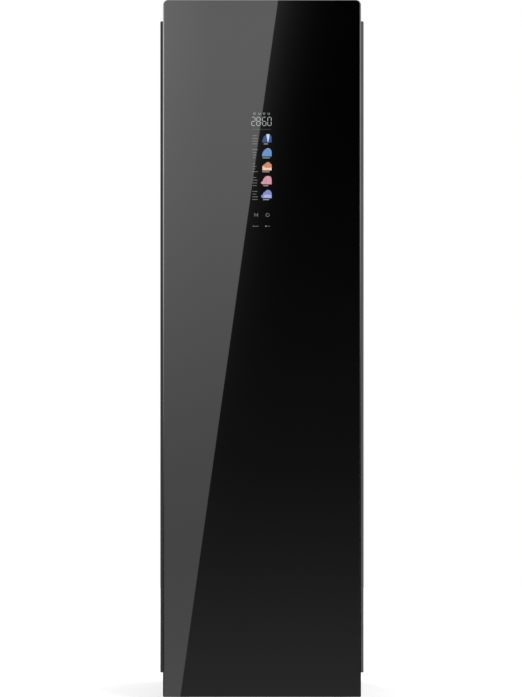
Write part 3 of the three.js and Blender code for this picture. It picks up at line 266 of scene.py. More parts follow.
set_inputs(mask_tree, mask_glow, {"Strength": mask_value})

# Side cards. One on each side, level with the door's face, for the bevels of its aluminium rim. Both are
# brighter towards the top.
CARD_HEIGHT = 9.0
SIDE_REACH = 2.4
SIDE_CARD_DEPTH = 2.2
SIDE_LEFT = [(0.0, 0.03), (0.14, 0.05), (0.28, 0.12), (0.43, 0.26), (0.57, 0.46), (0.75, 0.76), (1.0, 0.86)]
SIDE_RIGHT = [(0.0, 0.02), (0.14, 0.02), (0.28, 0.04), (0.43, 0.11), (0.57, 0.21), (0.75, 0.33), (1.0, 0.4)]
SIDE_CARDS = {"side_card_left": (-SIDE_REACH, SIDE_LEFT), "side_card_right": (SIDE_REACH, SIDE_RIGHT)}
for name, (card_x, stops) in SIDE_CARDS.items():
    card_tree, card_glow, card_axes = reflected_card(
        name, (card_x, face_y, door_middle), (0, QUARTER_TURN, 0), CARD_HEIGHT, SIDE_CARD_DEPTH
    )
    card_z = map_range(card_tree, card_axes["Z"], (door_foot, door_top))
    set_inputs(card_tree, card_glow, {"Strength": ramp(card_tree, card_z, stops)})

# Grip cards. Two more cards stand ahead of the door's corners, where its grip rails' sloped faces look.
# Each glows evenly.
GRIP_CARDS = {"grip_card_left": (-2.0, 0.33), "grip_card_right": (2.0, 0.93)}
GRIP_CARD_AHEAD = 2.2
GRIP_CARD_WIDTH = 2.4
for name, (card_x, radiance) in GRIP_CARDS.items():
    card_turn = (QUARTER_TURN, 0, math.atan2(card_x, GRIP_CARD_AHEAD))
    card_tree, card_glow, card_axes = reflected_card(
        name, (card_x, face_y - GRIP_CARD_AHEAD, door_middle), card_turn, GRIP_CARD_WIDTH, CARD_HEIGHT
    )
    set_inputs(card_tree, card_glow, {"Strength": radiance})

# Lamps. Four soft square lamps light the cabinet evenly, from both sides of the front, from the back and
# from above. Reflections don't see them.
LAMPS = {
    "key_lamp": ((2.6, -3.6, 3.0), 2.2, 95),
    "fill_lamp": ((-3.4, -2.6, 2.0), 2.4, 50),
    "back_lamp": ((-1.8, 3.6, 3.0), 2.2, 70),
    "top_lamp": ((0.6, 0.4, 4.4), 2.0, 45),
}
for name, (place, size, power) in LAMPS.items():
    lamp = bpy.data.lights.new(name, "AREA")
    lamp.size = size
    lamp.energy = power
    holder = bpy.data.objects.new(name, lamp)
    holder.location = place
    holder.rotation_euler = (Vector((0, 0, door_middle)) - Vector(place)).to_track_quat("-Z", "Y").to_euler()
    holder.visible_glossy = False
    bpy.context.scene.collection.objects.link(holder)

# Base pan and feet. The pan is folded from 2 mm steel sheet and coated; each foot is a plastic pad with a
# hexagon collar on a threaded stem. Every finish below draws its mottle, grain and bump from one group.
GRAIN_INPUTS = (
    ("Base", "NodeSocketColor", (0.5, 0.5, 0.5, 1)),
    ("Shade", "NodeSocketColor", (0.4, 0.4, 0.4, 1)),
    ("Stretch", "NodeSocketVector", (1, 1, 1)),
    ("Grain Scale", "NodeSocketFloat", 900.0),
    ("Mottle Scale", "NodeSocketFloat", 6.0),
    ("Rough", "NodeSocketFloat", 0.4),
    ("Rough Spread", "NodeSocketFloat", 0.1),
    ("Bump", "NodeSocketFloat", 0.0),
)
GRAIN_OUTPUTS = {"Color": "NodeSocketColor", "Roughness": "NodeSocketFloat", "Normal": "NodeSocketVector"}
GRAIN_DETAIL = 3.0
MOTTLE_DETAIL = 4.0
MOTTLE_REACH = (0.35, 0.65)


def noise(tree, place, scale, detail):
    inputs = {"Vector": place, "Scale": scale, "Detail": detail}
    return node(tree, "ShaderNodeTexNoise", inputs).outputs["Fac"]


def build_grain_group():
    """Surface grain: two tones mottled together, a roughness that wanders with the grain, and its bump."""
    tree = bpy.data.node_groups.new("surface_grain", "ShaderNodeTree")
    for name, kind, value in GRAIN_INPUTS:
        tree.interface.new_socket(name, in_out="INPUT", socket_type=kind).default_value = value
    for name, kind in GRAIN_OUTPUTS.items():
        tree.interface.new_socket(name, in_out="OUTPUT", socket_type=kind)
    given = node(tree, "NodeGroupInput").outputs
    place = node(tree, "ShaderNodeTexCoord").outputs["Object"]
    along_grain = {0: place, 1: given["Stretch"]}
    stretched = node(tree, "ShaderNodeVectorMath", along_grain, operation="MULTIPLY").outputs[0]
    grain = noise(tree, stretched, given["Grain Scale"], GRAIN_DETAIL)
    mottle = noise(tree, place, given["Mottle Scale"], MOTTLE_DETAIL)
    tones = node(tree, "ShaderNodeMix", data_type="RGBA")
    mixed = {
        "A_Color": given["Base"],
        "B_Color": given["Shade"],
        "Factor_Float": map_range(tree, mottle, MOTTLE_REACH),
    }
    for key, value in mixed.items():
        tree.links.new(value, next(socket for socket in tones.inputs if socket.identifier == key))
    both = math_node(tree, "SUBTRACT", math_node(tree, "ADD", grain, mottle), 1.0)
    rough = math_node(tree, "MULTIPLY", both, given["Rough Spread"])
    bump = node(tree, "ShaderNodeBump", {"Height": grain, "Distance": given["Bump"], "Strength": 1.0})
    made = {
        "Color": next(socket for socket in tones.outputs if socket.identifier == "Result_Color"),
        "Roughness": math_node(tree, "ADD", given["Rough"], rough),
        "Normal": bump.outputs["Normal"],
    }
    node(tree, "NodeGroupOutput", made)
    return tree


surface_grain = build_grain_group()


def finish(name, base, shade, rough, metallic=0.0, fixed=None, **grain):
    """A material whose colour, roughness and bump come from the surface grain group."""
    made, tree, shader = new_material(name)
    grain_values = {key.replace("_", " ").title(): value for key, value in grain.items()}
    tones = {"Base": (*base, 1), "Shade": (*shade, 1), "Rough": rough, **grain_values}
    surface = node(tree, "ShaderNodeGroup", tones, node_tree=surface_grain).outputs
    drawn = {"Base Color": surface["Color"], "Roughness": surface["Roughness"], "Normal": surface["Normal"]}
    set_inputs(tree, shader, {**drawn, "Metallic": metallic, **(fixed or {})})
    return made


def paint(piece, material):
    piece.data.materials.clear()
    piece.data.materials.append(material)


def fit(piece, body, material, slot, *stands_for):
    """Gives a finished piece its material and the body that it moves with. The slot is not used."""
    paint(piece, material)
    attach(piece, body)
    if stands_for:
        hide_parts(*stands_for)
    return piece


def modify(piece, kind, **settings):
    """Gives a piece a modifier with its settings and applies it."""
    modifier = piece.modifiers.new(kind, kind)
    assign(modifier, settings)
    select_only(piece)
    bpy.ops.object.modifier_apply(modifier=modifier.name)
    return piece


def open_mesh(piece, kind="FACE", action="DESELECT"):
    """Opens a piece in edit mode with nothing of it selected, or all of it."""
    select_only(piece)
    bpy.ops.object.mode_set(mode="EDIT")
    bpy.ops.mesh.select_mode(type=kind)
    bpy.ops.mesh.select_all(action=action)


def close_mesh():
    bpy.ops.object.mode_set(mode="OBJECT")


SHARP = math.radians(30)
FLAT = math.radians(0.5)
WELD = 0.002 * MM


def soften(piece, edge, angle=SHARP):
    """Rounds a piece's sharp edges by a width in a number of steps, and shades it smooth between them."""
    width, steps = edge
    select_only(piece)
    bpy.ops.object.shade_smooth_by_angle(angle=angle)
    sharp_only = {"limit_method": "ANGLE", "angle_limit": angle}
    return modify(piece, "BEVEL", width=width, segments=steps, **sharp_only, harden_normals=True)


def solid_copy(name, in_quads=False):
    """A copy of a CAD solid with its loose triangles merged into whole faces, or paired into flat quads."""
    piece = bpy.data.objects.new(name + "_finished", NODES[name].data.copy())
    bpy.context.scene.collection.objects.link(piece)
    open_mesh(piece, action="SELECT")
    bpy.ops.mesh.remove_doubles(threshold=WELD)
    if in_quads:
        bpy.ops.mesh.tris_convert_to_quads(face_threshold=FLAT, shape_threshold=math.pi)
    else:
        bpy.ops.mesh.dissolve_limited(angle_limit=FLAT)
    close_mesh()
    return piece


def refine(name, body, material, slot, edge, in_quads=False):
    """Replaces a CAD node by a copy with rounded edges, in its finish."""
    return fit(soften(solid_copy(name, in_quads), edge), body, material, slot, name)


# An edge's round is its width and its steps.
FINE_EDGE = (0.4 * MM, 2)
ROUND_EDGE = (0.8 * MM, 3)
dark_steel = finish(
    "dark_steel", (0.03, 0.031, 0.033), (0.026, 0.027, 0.029), 0.42, bump=0.02 * MM, rough_spread=0.16
)
pad_plastic = finish(
    "pad_plastic", (0.022, 0.024, 0.027), (0.018, 0.02, 0.022), 0.6, bump=0.03 * MM, grain_scale=1500
)
refine("base_pan", "cabinet", dark_steel, "dark_steel", FINE_EDGE)
for place in ("front_left", "front_right", "rear_left", "rear_right"):
    refine("foot_" + place, place + "_foot", pad_plastic, "dark_plastic", ROUND_EDGE)

# Steel case. The two side panels and the top cover are folded from 1.2 mm sheet and powder coated. The two
# hinge brackets are left bare, and each carries a pin that the door turns on.
COATED_EDGE = (0.45 * MM, 2)
graphite = finish(
    "graphite_coat",
    (0.046, 0.047, 0.051),
    (0.041, 0.042, 0.046),
    0.44,
    bump=0.035 * MM,
    grain_scale=1100,
    rough_spread=0.14,
    mottle_scale=3,
)
bare_steel = finish(
    "bare_steel", (0.6, 0.61, 0.62), (0.5, 0.51, 0.52), 0.3, 1.0, stretch=(0.04, 1, 1), bump=0.01 * MM
)
for name in ("side_panel_right", "side_panel_left", "top_cover"):
    refine(name, "cabinet", graphite, "graphite_steel", COATED_EDGE)
for name in ("hinge_bracket_top", "hinge_bracket_bottom"):
    refine(name, "cabinet", bare_steel, "bare_steel", FINE_EDGE)

# Door glass. One 4 mm sheet of toughened glass, backed with black enamel, with rounded top corners and a
# ground arris. The face lies a hair behind the CAD face, so that the lit figures on it end level with it.
FIGURE_RAISE = 0.2 * MM


def block(name, lowest, highest):
    """A box between two corners, with its place in its mesh."""
    lowest, highest = Vector(lowest), Vector(highest)
    deselect()
    bpy.ops.mesh.primitive_cube_add(size=1, location=(lowest + highest) / 2)
    bpy.context.object.scale = highest - lowest
    return settle(bpy.context.object, name)


def pick_edges(piece, test):
    """Opens a piece with the edges selected whose middle and direction pass a test."""
    open_mesh(piece, "EDGE")
    close_mesh()
    points = [vertex.co for vertex in piece.data.vertices]
    for edge in piece.data.edges:
        first, second = (points[index] for index in edge.vertices)
        edge.select = bool(test((first + second) / 2, (second - first).normalized()))
    bpy.ops.object.mode_set(mode="EDIT")


def pick_faces(piece, test):
    """Opens a piece with the faces selected whose middle and normal pass a test."""
    open_mesh(piece)
    close_mesh()
    for face in piece.data.polygons:
        face.select = bool(test(face.center, face.normal))
    bpy.ops.object.mode_set(mode="EDIT")


def round_edges(piece, test, radius, steps):
    pick_edges(piece, test)
    bpy.ops.mesh.bevel(offset=radius, segments=steps, affect="EDGES")
    close_mesh()


# A direction lies along an axis where its part on that axis is over ALONG, and across it where it is under
# ACROSS.
ALONG = 0.9
ACROSS = 0.1
TOP_STEPS = 10
FOOT_STEPS = 4
RIM_OUTER_RADIUS = 14.5 * MM
RIM_FOOT_RADIUS = 3.8 * MM
GLASS_FOOT_RADIUS = 1 * MM
GLASS_ARRIS = (0.3 * MM, 2)
RIM_REVEAL = 3.1 * MM


def door_plate(name, lowest, highest, top_radius, foot_radius):
    """A plate across the door with rounded top corners and small ones at its foot."""
    plate = block(name, lowest, highest)
    middle = (lowest[2] + highest[2]) / 2
    for upper, radius, steps in ((True, top_radius, TOP_STEPS), (False, foot_radius, FOOT_STEPS)):
        round_edges(plate, lambda at, run: abs(run.y) > ALONG and (at.z > middle) == upper, radius, steps)
    return plate


glass_low, glass_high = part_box("door_glass")
glass_low.x = low("door_rim").x + RIM_REVEAL
glass_high.x = high("door_rim").x - RIM_REVEAL
glass_radius = RIM_OUTER_RADIUS - RIM_REVEAL
glass_corner = glass_low + Vector((0, FIGURE_RAISE, 0))
glass = door_plate("door_glass_sheet", glass_corner, glass_high, glass_radius, GLASS_FOOT_RADIUS)
GLASS_BLACK = (0.0004, 0.0004, 0.0005)
GLASS_SHADE = (0.0006, 0.0006, 0.0008)
GLASS_ROUGH = 0.006
GLASS_IOR = 1.52
GLASS_GRAIN = {"grain_scale": 30, "mottle_scale": 4, "rough_spread": 0.003}


def glass_finish(name):
    return finish(name, GLASS_BLACK, GLASS_SHADE, GLASS_ROUGH, fixed={"IOR": GLASS_IOR}, **GLASS_GRAIN)


fit(soften(glass, GLASS_ARRIS), "door", glass_finish("black_glass"), "black_glass", "door_glass")

# Door rim. A satin aluminium frame, mitred round the glass, with a wide bevel that shows down both sides.
# The glass lies in its rebate.
REBATE_GAP = 0.12 * MM
RIM_BEVEL = RIM_REVEAL - REBATE_GAP
RIM_LIP = 4 * MM
RIM_EDGE = (0.1 * MM, 1)
CUT_OVERRUN = 5 * MM
NEAR = 0.05 * MM


def carve(piece, *cutters):
    """Cuts the other pieces out of a piece and deletes them."""
    for cutter in cutters:
        modify(piece, "BOOLEAN", object=cutter, operation="DIFFERENCE", solver="EXACT")
        bpy.data.objects.remove(cutter)
    return piece


def opening(name, grow, radius, front, back):
    """A cutter with the glass's outline, grown or shrunk all round."""
    nearest = (glass_low.x - grow, front, glass_low.z - grow)
    farthest = (glass_high.x + grow, back, glass_high.z + grow)
    return door_plate(name, nearest, farthest, radius, GLASS_FOOT_RADIUS)


rim_low, rim_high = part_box("door_rim")
rim = door_plate("door_rim_frame", rim_low, rim_high, RIM_OUTER_RADIUS, RIM_FOOT_RADIUS)
round_edges(rim, lambda at, run: abs(at.y - rim_low.y) < NEAR, RIM_BEVEL, 1)
before_rim = rim_low.y - CUT_OVERRUN
carve(
    rim,
    opening("rebate", REBATE_GAP, glass_radius, before_rim, glass_high.y + REBATE_GAP),
    opening("mouth", -RIM_LIP, glass_radius - RIM_LIP, before_rim, rim_high.y + CUT_OVERRUN),
)
rim_aluminium = finish(
    "rim_aluminium",
    (0.56, 0.57, 0.58),
    (0.5, 0.51, 0.52),
    0.16,
    1.0,
    stretch=(1, 1, 0.03),
    bump=0.004 * MM,
    rough_spread=0.06,
)
fit(soften(rim, RIM_EDGE), "door", rim_aluminium, "rim_aluminium", "door_rim")

# Grip rails. Extruded aluminium strips, anodised dark grey and clipped along both sides of the door. Their
# face slopes back towards its outer edge.
GRIP_SLOPE_DEPTH = 2.4 * MM
GRIP_EDGE = (0.5 * MM, 3)
grip_aluminium = finish(
    "grip_aluminium",
    (0.118, 0.119, 0.122),
    (0.108, 0.109, 0.112),
    0.26,
    1.0,
    stretch=(1, 1, 0.02),
    bump=0.006 * MM,
    rough_spread=0.08,
)
for name in ("grip_rail_left", "grip_rail_right"):
    strip = solid_copy(name)
    front = [vertex.co for vertex in strip.data.vertices if vertex.co.y < low(name).y + NEAR]
    inner_x = min(abs(point.x) for point in front)
    outer_x = max(abs(point.x) for point in front)
    for point in front:
        point.y += GRIP_SLOPE_DEPTH * (abs(point.x) - inner_x) / (outer_x - inner_x)
        point.x -= math.copysign(NEAR, point.x)
    fit(soften(strip, GRIP_EDGE), "door", grip_aluminium, "grip_aluminium", name)

# Lit figures of the touch display. They shine through clear windows in the enamel: status marks, plain
# numbers, five garment pictures with short dashes by them, and two key signs. Each is thin and flat here.
FIGURE_MOTTLE = 250


def at_pixel(column, row):
    """The place on the door's face that a pixel of the photograph shows."""
    return (column - DOOR_CENTRE_PIXEL) * PIXEL, door_top - TRIM - row * PIXEL


def lit(name, color, shade):
    """The door's black glass with a glow behind it, mottled in two tones."""
    made = glass_finish(name)
    tree = made.node_tree
    tones = {"Base": (*color, 1), "Shade": (*shade, 1), "Mottle Scale": FIGURE_MOTTLE}
    glow = node(tree, "ShaderNodeGroup", tones, node_tree=surface_grain).outputs["Color"]
    set_inputs(tree, tree.nodes["Principled BSDF"], {"Emission Color": glow, "Emission Strength": 1.0})
    return made


def merge(pieces, name):
    """Joins pieces into one."""
    deselect()
    for piece in pieces:
        piece.select_set(True)
    bpy.context.view_layer.objects.active = pieces[0]
    bpy.ops.object.join()
    return settle(bpy.context.object, name)


def flat_bar(first, last, stroke):
    """A lit bar between two pixels of one row or column, with its stroke in pixels."""
    (left, top), (right, foot) = at_pixel(*first), at_pixel(*last)
    half = stroke * PIXEL / 2
    if first[1] == last[1]:
        top, foot = top + half, foot - half
    else:
        left, right = left - half, right + half
    back = glass_low.y + FIGURE_RAISE
    return block("bar", (left, back - FIGURE_RAISE, foot), (right, back, top))


def row_bar(columns, row, stroke):
    return flat_bar((columns[0], row), (columns[1], row), stroke)


def column_bar(column, rows, stroke):
    return flat_bar((column, rows[0]), (column, rows[1]), stroke)


def thicken(sheet, depth):
    """Gives a flat sheet in the door's face its thickness, behind the face."""
    open_mesh(sheet, action="SELECT")
    bpy.ops.mesh.normals_make_consistent(inside=False)
    close_mesh()
    if sheet.data.polygons[0].normal.y > 0:
        open_mesh(sheet, action="SELECT")
        bpy.ops.mesh.flip_normals()
        close_mesh()
    return modify(sheet, "SOLIDIFY", thickness=depth, offset=-1)


def flat_ring(middle, radius, stroke, steps, gap_share=0.0, turn=0.0):
    """A lit ring about a pixel, turned by an angle, and open at its top over a share of its radius."""
    x, z = at_pixel(*middle)
    deselect()
    bpy.ops.mesh.primitive_circle_add(
        vertices=steps, radius=radius * PIXEL, location=(x, glass_low.y, z), rotation=(QUARTER_TURN, turn, 0)
    )
    ring = settle(bpy.context.object, "ring")
    open_mesh(ring, "EDGE", "SELECT")
    bpy.ops.mesh.extrude_region_move()
    bpy.ops.transform.resize(value=[1 - stroke / radius] * 3, center_override=(x, glass_low.y, z))
    close_mesh()
    if gap_share:
        pick_faces(ring, lambda at, facing: at.z > z and abs(at.x - x) < gap_share * radius * PIXEL)
        bpy.ops.mesh.delete(type="FACE")
        close_mesh()
    return thicken(ring, FIGURE_RAISE)


# Numbers. Two pairs of digits, parted by two dots, shine through clear windows in the enamel. A digit has
# seven bars, and the table names the bars that stay dark in each.
DARK_BARS = {"0": "middle", "2": "upper_left lower_right", "6": "upper_right", "8": ""}
SHOWN_DIGITS = "2860"
DIGIT_ROWS = (117.2, 121.4, 125.6)
DIGIT_COLUMNS = (251.6, 256.7, 262.5, 267.7)
DIGIT_WIDTH = 3.5
DIGIT_STROKE = 0.48
DIGIT_GAP = 0.5
DOT_ROWS = (119.9, 122.9)
DOT_COLUMNS = (261.1, 261.6)


def digit(text, left):
    """The lit bars of one digit."""
    right = left + DIGIT_WIDTH
    bars = {}
    for name, row in zip(("top", "middle", "foot"), DIGIT_ROWS):
        bars[name] = ((left + DIGIT_GAP, row), (right - DIGIT_GAP, row))
    for half, top, foot in zip(("upper", "lower"), DIGIT_ROWS, DIGIT_ROWS[1:]):
        for side, column in (("left", left), ("right", right)):
            bars[half + "_" + side] = ((column, top + DIGIT_GAP), (column, foot - DIGIT_GAP))
    lit_bars = [ends for name, ends in bars.items() if name not in DARK_BARS[text]]
    return [flat_bar(*ends, DIGIT_STROKE) for ends in lit_bars]


numbers = [bar for text, left in zip(SHOWN_DIGITS, DIGIT_COLUMNS) for bar in digit(text, left)]
numbers += [row_bar(DOT_COLUMNS, row, DIGIT_STROKE) for row in DOT_ROWS]
figure_white = lit("figure_white", (0.62, 0.63, 0.63), (0.52, 0.53, 0.53))
fit(merge(numbers, "display_numbers"), "door", figure_white, "black_glass")

# Status marks and key signs. The marks are small rings, every second one open at its top. The signs are a
# triangle with a bar, an open ring with a bar, and a short mark below it.
STATUS_ROW = 113.6
STATUS_COLUMNS = (254.5, 259.5, 264.1, 268.7)
STATUS_GAP_SHARE = 0.35
STATUS = {"radius": 1.15, "stroke": 0.4, "steps": 12}
KEY_ROW = 214.9
KEY_RADIUS = 1.85
POWER_COLUMN = 267.6
POWER = {"radius": KEY_RADIUS, "stroke": 0.3, "steps": 32, "gap_share": 0.5}
POWER_BAR_ROWS = (KEY_ROW - 2.0, KEY_ROW - 1.1)
PLAY_COLUMN = 255.2
PLAY = {"radius": KEY_RADIUS, "stroke": 0.4, "steps": 3, "turn": QUARTER_TURN}
PLAY_BAR_COLUMN = 257.6
PLAY_BAR_ROWS = (KEY_ROW - 1.6, KEY_ROW + 1.6)
KEY_LABEL_ROW = 226.2
KEY_MARK = (265.2, 267.0)
KEY_MARK_STROKE = 0.8
keys = []
for number, column in enumerate(STATUS_COLUMNS):
    keys.append(flat_ring((column, STATUS_ROW), **STATUS, gap_share=STATUS_GAP_SHARE * (number % 2)))
keys.append(flat_ring((POWER_COLUMN, KEY_ROW), **POWER))
keys.append(column_bar(POWER_COLUMN, POWER_BAR_ROWS, POWER["stroke"]))
keys.append(flat_ring((PLAY_COLUMN, KEY_ROW), **PLAY))
keys.append(column_bar(PLAY_BAR_COLUMN, PLAY_BAR_ROWS, PLAY["stroke"]))
keys.append(row_bar(KEY_MARK, KEY_LABEL_ROW, KEY_MARK_STROKE))
figure_pale = lit("figure_pale", (0.36, 0.37, 0.37), (0.3, 0.31, 0.31))
fit(merge(keys, "display_keys_and_status"), "door", figure_pale, "black_glass")

# Short dashes and a line. Four dashes stand beside each garment picture, a brighter one below it, and two
# with a small ring below the keys. The line runs under the numbers.
GARMENT_PITCH = 13.93
DASH_LEFT = 251.6
DASH_FIELD = 8.1
DASH_INSET_SHARE = 0.25
DASH_STROKE = 0.5
DASH_ROWS = (135.7, 138.4, 141.1, 143.8)
DASH_LENGTHS = (
    (4.4, 5.6, 5.2, 4.6),
    (5.6, 3.8, 3.4, 2.0),
    (1.8, 3.8, 2.0, 5.6),
    (3.4, 5.0, 4.6, 4.2),
    (5.0, 3.6, 5.6, 5.2),
)
LABEL_ROW = 143.95
LABEL_STROKE = 0.45
LABEL_SPANS = ((263.8, 267.9), (262.4, 269.8), (262.2, 269.6), (263.4, 268.3), (263.0, 269.1))
KEY_DASHES = ((254.6, 258.6), (267.8, 269.8))
KEY_DASH_STROKE = 0.42
KEY_DOT_COLUMN = 253.5
KEY_DOT = {"radius": 0.75, "stroke": 0.4, "steps": 10}
LINE = {"columns": (252.4, 270.6), "row": 129.4, "stroke": 0.55}
dashes = []
labels = []
for number, lengths in enumerate(DASH_LENGTHS):
    drop = number * GARMENT_PITCH
    for row, length in zip(DASH_ROWS, lengths):
        start = DASH_LEFT + (DASH_FIELD - length) * DASH_INSET_SHARE
        dashes.append(row_bar((start, start + length), row + drop, DASH_STROKE))
    labels.append(row_bar(LABEL_SPANS[number], LABEL_ROW + drop, LABEL_STROKE))
dashes += [row_bar(columns, KEY_LABEL_ROW, KEY_DASH_STROKE) for columns in KEY_DASHES]
dashes.append(flat_ring((KEY_DOT_COLUMN, KEY_LABEL_ROW), **KEY_DOT))
fit(merge(labels, "display_labels"), "door", figure_white, "black_glass")
figure_grey = lit("figure_grey", (0.22, 0.225, 0.225), (0.16, 0.165, 0.165))
fit(merge(dashes, "display_dashes"), "door", figure_grey, "black_glass")
figure_green = lit("figure_green", (0.05, 0.075, 0.065), (0.035, 0.055, 0.048))
fit(merge([row_bar(**LINE)], "display_status_line"), "door", figure_green, "black_glass")

# Garment pictures. Each is a plain outline in shares of its tile, half drawn and mirrored, with a trim over
# it. The tile's right edge cuts it off. The display's housing behind them is a dark plastic box.
THIN_FIGURE = 0.12 * MM
TILE = {"foot_row": 142.5, "height": 8.3, "middle": 268.0, "half": 5.15, "right": 271.6}
GARMENTS = {
    "jacket": (
        ((0.035, 0.075, 0.21), (0.055, 0.11, 0.28)),
        ((0.72, 0.8, 0.98), (0.5, 0.6, 0.85)),
        ((0.26, 1.0), (0.52, 0.86), (0.86, 0.68), (1.12, 0.2), (1.12, 0.0)),
        ((0.3, 1.0), (0.24, 0.62), (0.03, 0.02)),
    ),
    "sweater": (
        ((0.13, 0.26, 0.54), (0.17, 0.31, 0.58)),
        ((0.2, 0.35, 0.62), (0.16, 0.3, 0.56)),
        ((0.2, 0.98), (0.5, 0.88), (0.9, 0.62), (1.14, 0.3), (1.14, 0.0)),
        ((0.22, 1.0), (0.16, 0.86)),
    ),
    "coat": (
        ((0.68, 0.31, 0.17), (0.5, 0.22, 0.12)),
        ((0.9, 0.68, 0.54), (0.84, 0.56, 0.42)),
        ((0.2, 1.0), (0.42, 0.84), (0.8, 0.7), (1.12, 0.5), (1.12, 0.0)),
        ((0.34, 0.3), (0.72, 0.36), (1.02, 0.52), (1.02, 0.0)),
    ),
    "cardigan": (
        ((0.7, 0.35, 0.42), (0.62, 0.27, 0.34)),
        ((0.78, 0.5, 0.48), (0.72, 0.42, 0.42)),
        ((0.22, 1.0), (0.55, 0.9), (0.92, 0.62), (1.02, 0.36), (1.34, 0.28), (1.34, 0.1), (1.0, 0.0)),
        ((0.05, 0.86), (0.05, 0.0)),
    ),
    "pyjamas": (
        ((0.2, 0.24, 0.56), (0.26, 0.3, 0.6)),
        ((0.45, 0.5, 0.76), (0.36, 0.41, 0.7)),
        ((0.24, 1.0), (0.56, 0.8), (0.9, 0.66), (1.02, 0.42), (1.3, 0.34), (1.3, 0.14), (1.04, 0.0)),
        ((0.6, 0.42), (0.86, 0.28), (0.72, 0.06)),
    ),
}


def garment_shape(name, half_outline, number, depth):
    """A garment's outline or trim, mirrored about the tile's middle and cut at its right edge."""
    outline = [(-share, height) for share, height in half_outline] + list(reversed(half_outline))
    deselect()
    bpy.ops.mesh.primitive_circle_add(vertices=len(outline), fill_type="NGON")
    shape = settle(bpy.context.object, name)
    for vertex, (share, height) in zip(shape.data.vertices, outline):
        column = min(TILE["middle"] + share * TILE["half"], TILE["right"])
        x, z = at_pixel(column, TILE["foot_row"] + number * GARMENT_PITCH - height * TILE["height"])
        vertex.co = (x, glass_low.y + FIGURE_RAISE - depth, z)
    return thicken(shape, depth)


for number, (name, (tones, trim_tones, outline, trim_outline)) in enumerate(GARMENTS.items()):
    layers = ((name, tones, outline, THIN_FIGURE), (name + "_trim", trim_tones, trim_outline, FIGURE_RAISE))
    for layer, shades, half_outline, depth in layers:
        shape = garment_shape("display_" + layer, half_outline, number, depth)
        fit(shape, "door", lit("figure_" + layer, *shades), "black_glass")
paint(NODES["touch_display"], pad_plastic)

# Back of the door. A coated steel shell holds the foam; a moulded panel with a raised ring closes it, and a
# magnetic rubber seal with a folded flank sits round the ring. Plastic bushes take the hinge pins.
SHELL_EDGE = (0.5 * MM, 2)
PANEL_EDGE = (2 * MM, 4)
SEAL_EDGE = (0.9 * MM, 3)
BUSH_EDGE = (0.6 * MM, 3)
SEAL_FOLD = 2.2 * MM
PANEL_FIELD = {"edge": 30 * MM, "slope": 5 * MM, "depth": 1.6 * MM}
FIELD_REACH = 300 * MM


def press_faces(piece, test, pressed):
    """Insets flat faces and presses their fields in."""
    pick_faces(piece, test)
    bpy.ops.mesh.inset(thickness=pressed["edge"], depth=0, use_individual=True)
    bpy.ops.mesh.inset(thickness=pressed["slope"], depth=-pressed["depth"], use_individual=True)
    close_mesh()


refine("door_shell", "door", graphite, "graphite_steel", SHELL_EDGE)
liner_plastic = finish("liner_plastic", (0.68, 0.7, 0.71), (0.66, 0.68, 0.69), 0.38, bump=0.02 * MM)
foam_material = finish("insulating_foam", (0.8, 0.78, 0.7), (0.72, 0.7, 0.62), 0.9, bump=0.3 * MM)
paint(NODES["door_foam"], foam_material)
panel = solid_copy("door_inner_panel")
seal_back = high("door_seal").y
panel_faces = [face for face in panel.data.polygons if face.normal.y > ALONG and face.center.y < seal_back]
middle_faces = [face for face in panel_faces if abs(face.center.z - door_middle) < FIELD_REACH]
field_middle = max(middle_faces, key=lambda face: face.area).center.copy()
press_faces(panel, lambda at, facing: (at - field_middle).length < NEAR, PANEL_FIELD)
fit(soften(panel, PANEL_EDGE), "door", liner_plastic, "liner_plastic", "door_inner_panel")
seal_rubber = finish(
    "seal_rubber", (0.19, 0.2, 0.21), (0.16, 0.17, 0.18), 0.62, bump=0.02 * MM, grain_scale=1400
)
seal = solid_copy("door_seal")
pick_faces(seal, lambda at, facing: abs(facing.y) < ACROSS)
bpy.ops.mesh.inset(thickness=SEAL_FOLD, depth=-SEAL_FOLD, use_even_offset=True)
close_mesh()
fit(soften(seal, SEAL_EDGE), "door", seal_rubber, "seal_rubber", "door_seal")
for name in ("hinge_bush_top", "hinge_bush_bottom"):
    refine(name, "door", pad_plastic, "dark_plastic", BUSH_EDGE)

# Back cover. One pressed steel sheet, coated dark: two long stiffening ribs and short ones between them are
# pressed inwards, air louvres are slit and bent inwards low down, and flush screws hold it to the case.
cover_low, cover_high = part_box("back_cover")
SHEET = 1.2 * MM
PRESSED_EDGE = (0.3 * MM, 2)
PRESSED_ANGLE = math.radians(15)
RIB_SLOPE = 7 * MM
RIB_DEPTH = 6 * MM
LONG_RIB = {"x": (140 * MM, 178 * MM), "z": (300 * MM, 1785 * MM)}
SHORT_RIB = {"half": 108 * MM, "height": 34 * MM, "foot": 420 * MM, "pitch": 330 * MM, "count": 4}
LOUVRE = {"x": (38 * MM, 218 * MM), "foot": 91 * MM, "pitch": 16 * MM, "height": 5 * MM, "count": 9}
FLAP_HEIGHT = 8 * MM
FLAP_DEPTH = 5 * MM
FLAP_END = 4 * MM
INLET_FLANGE = 3.7 * MM


def score(piece, axis, places):
    """Cuts a piece's faces along planes across an axis, and parts nothing."""
    facing = [0, 0, 0]
    facing["xyz".index(axis)] = 1
    open_mesh(piece)
    for place in sorted(set(places)):
        bpy.ops.mesh.select_all(action="SELECT")
        bpy.ops.mesh.bisect(plane_co=[part * place for part in facing], plane_no=facing)
    close_mesh()


def pick_points(piece, test):
    """Opens a piece with the points selected whose place passes a test."""
    open_mesh(piece, "VERT")
    close_mesh()
    for vertex in piece.data.vertices:
        vertex.select = bool(test(vertex.co))
    bpy.ops.object.mode_set(mode="EDIT")


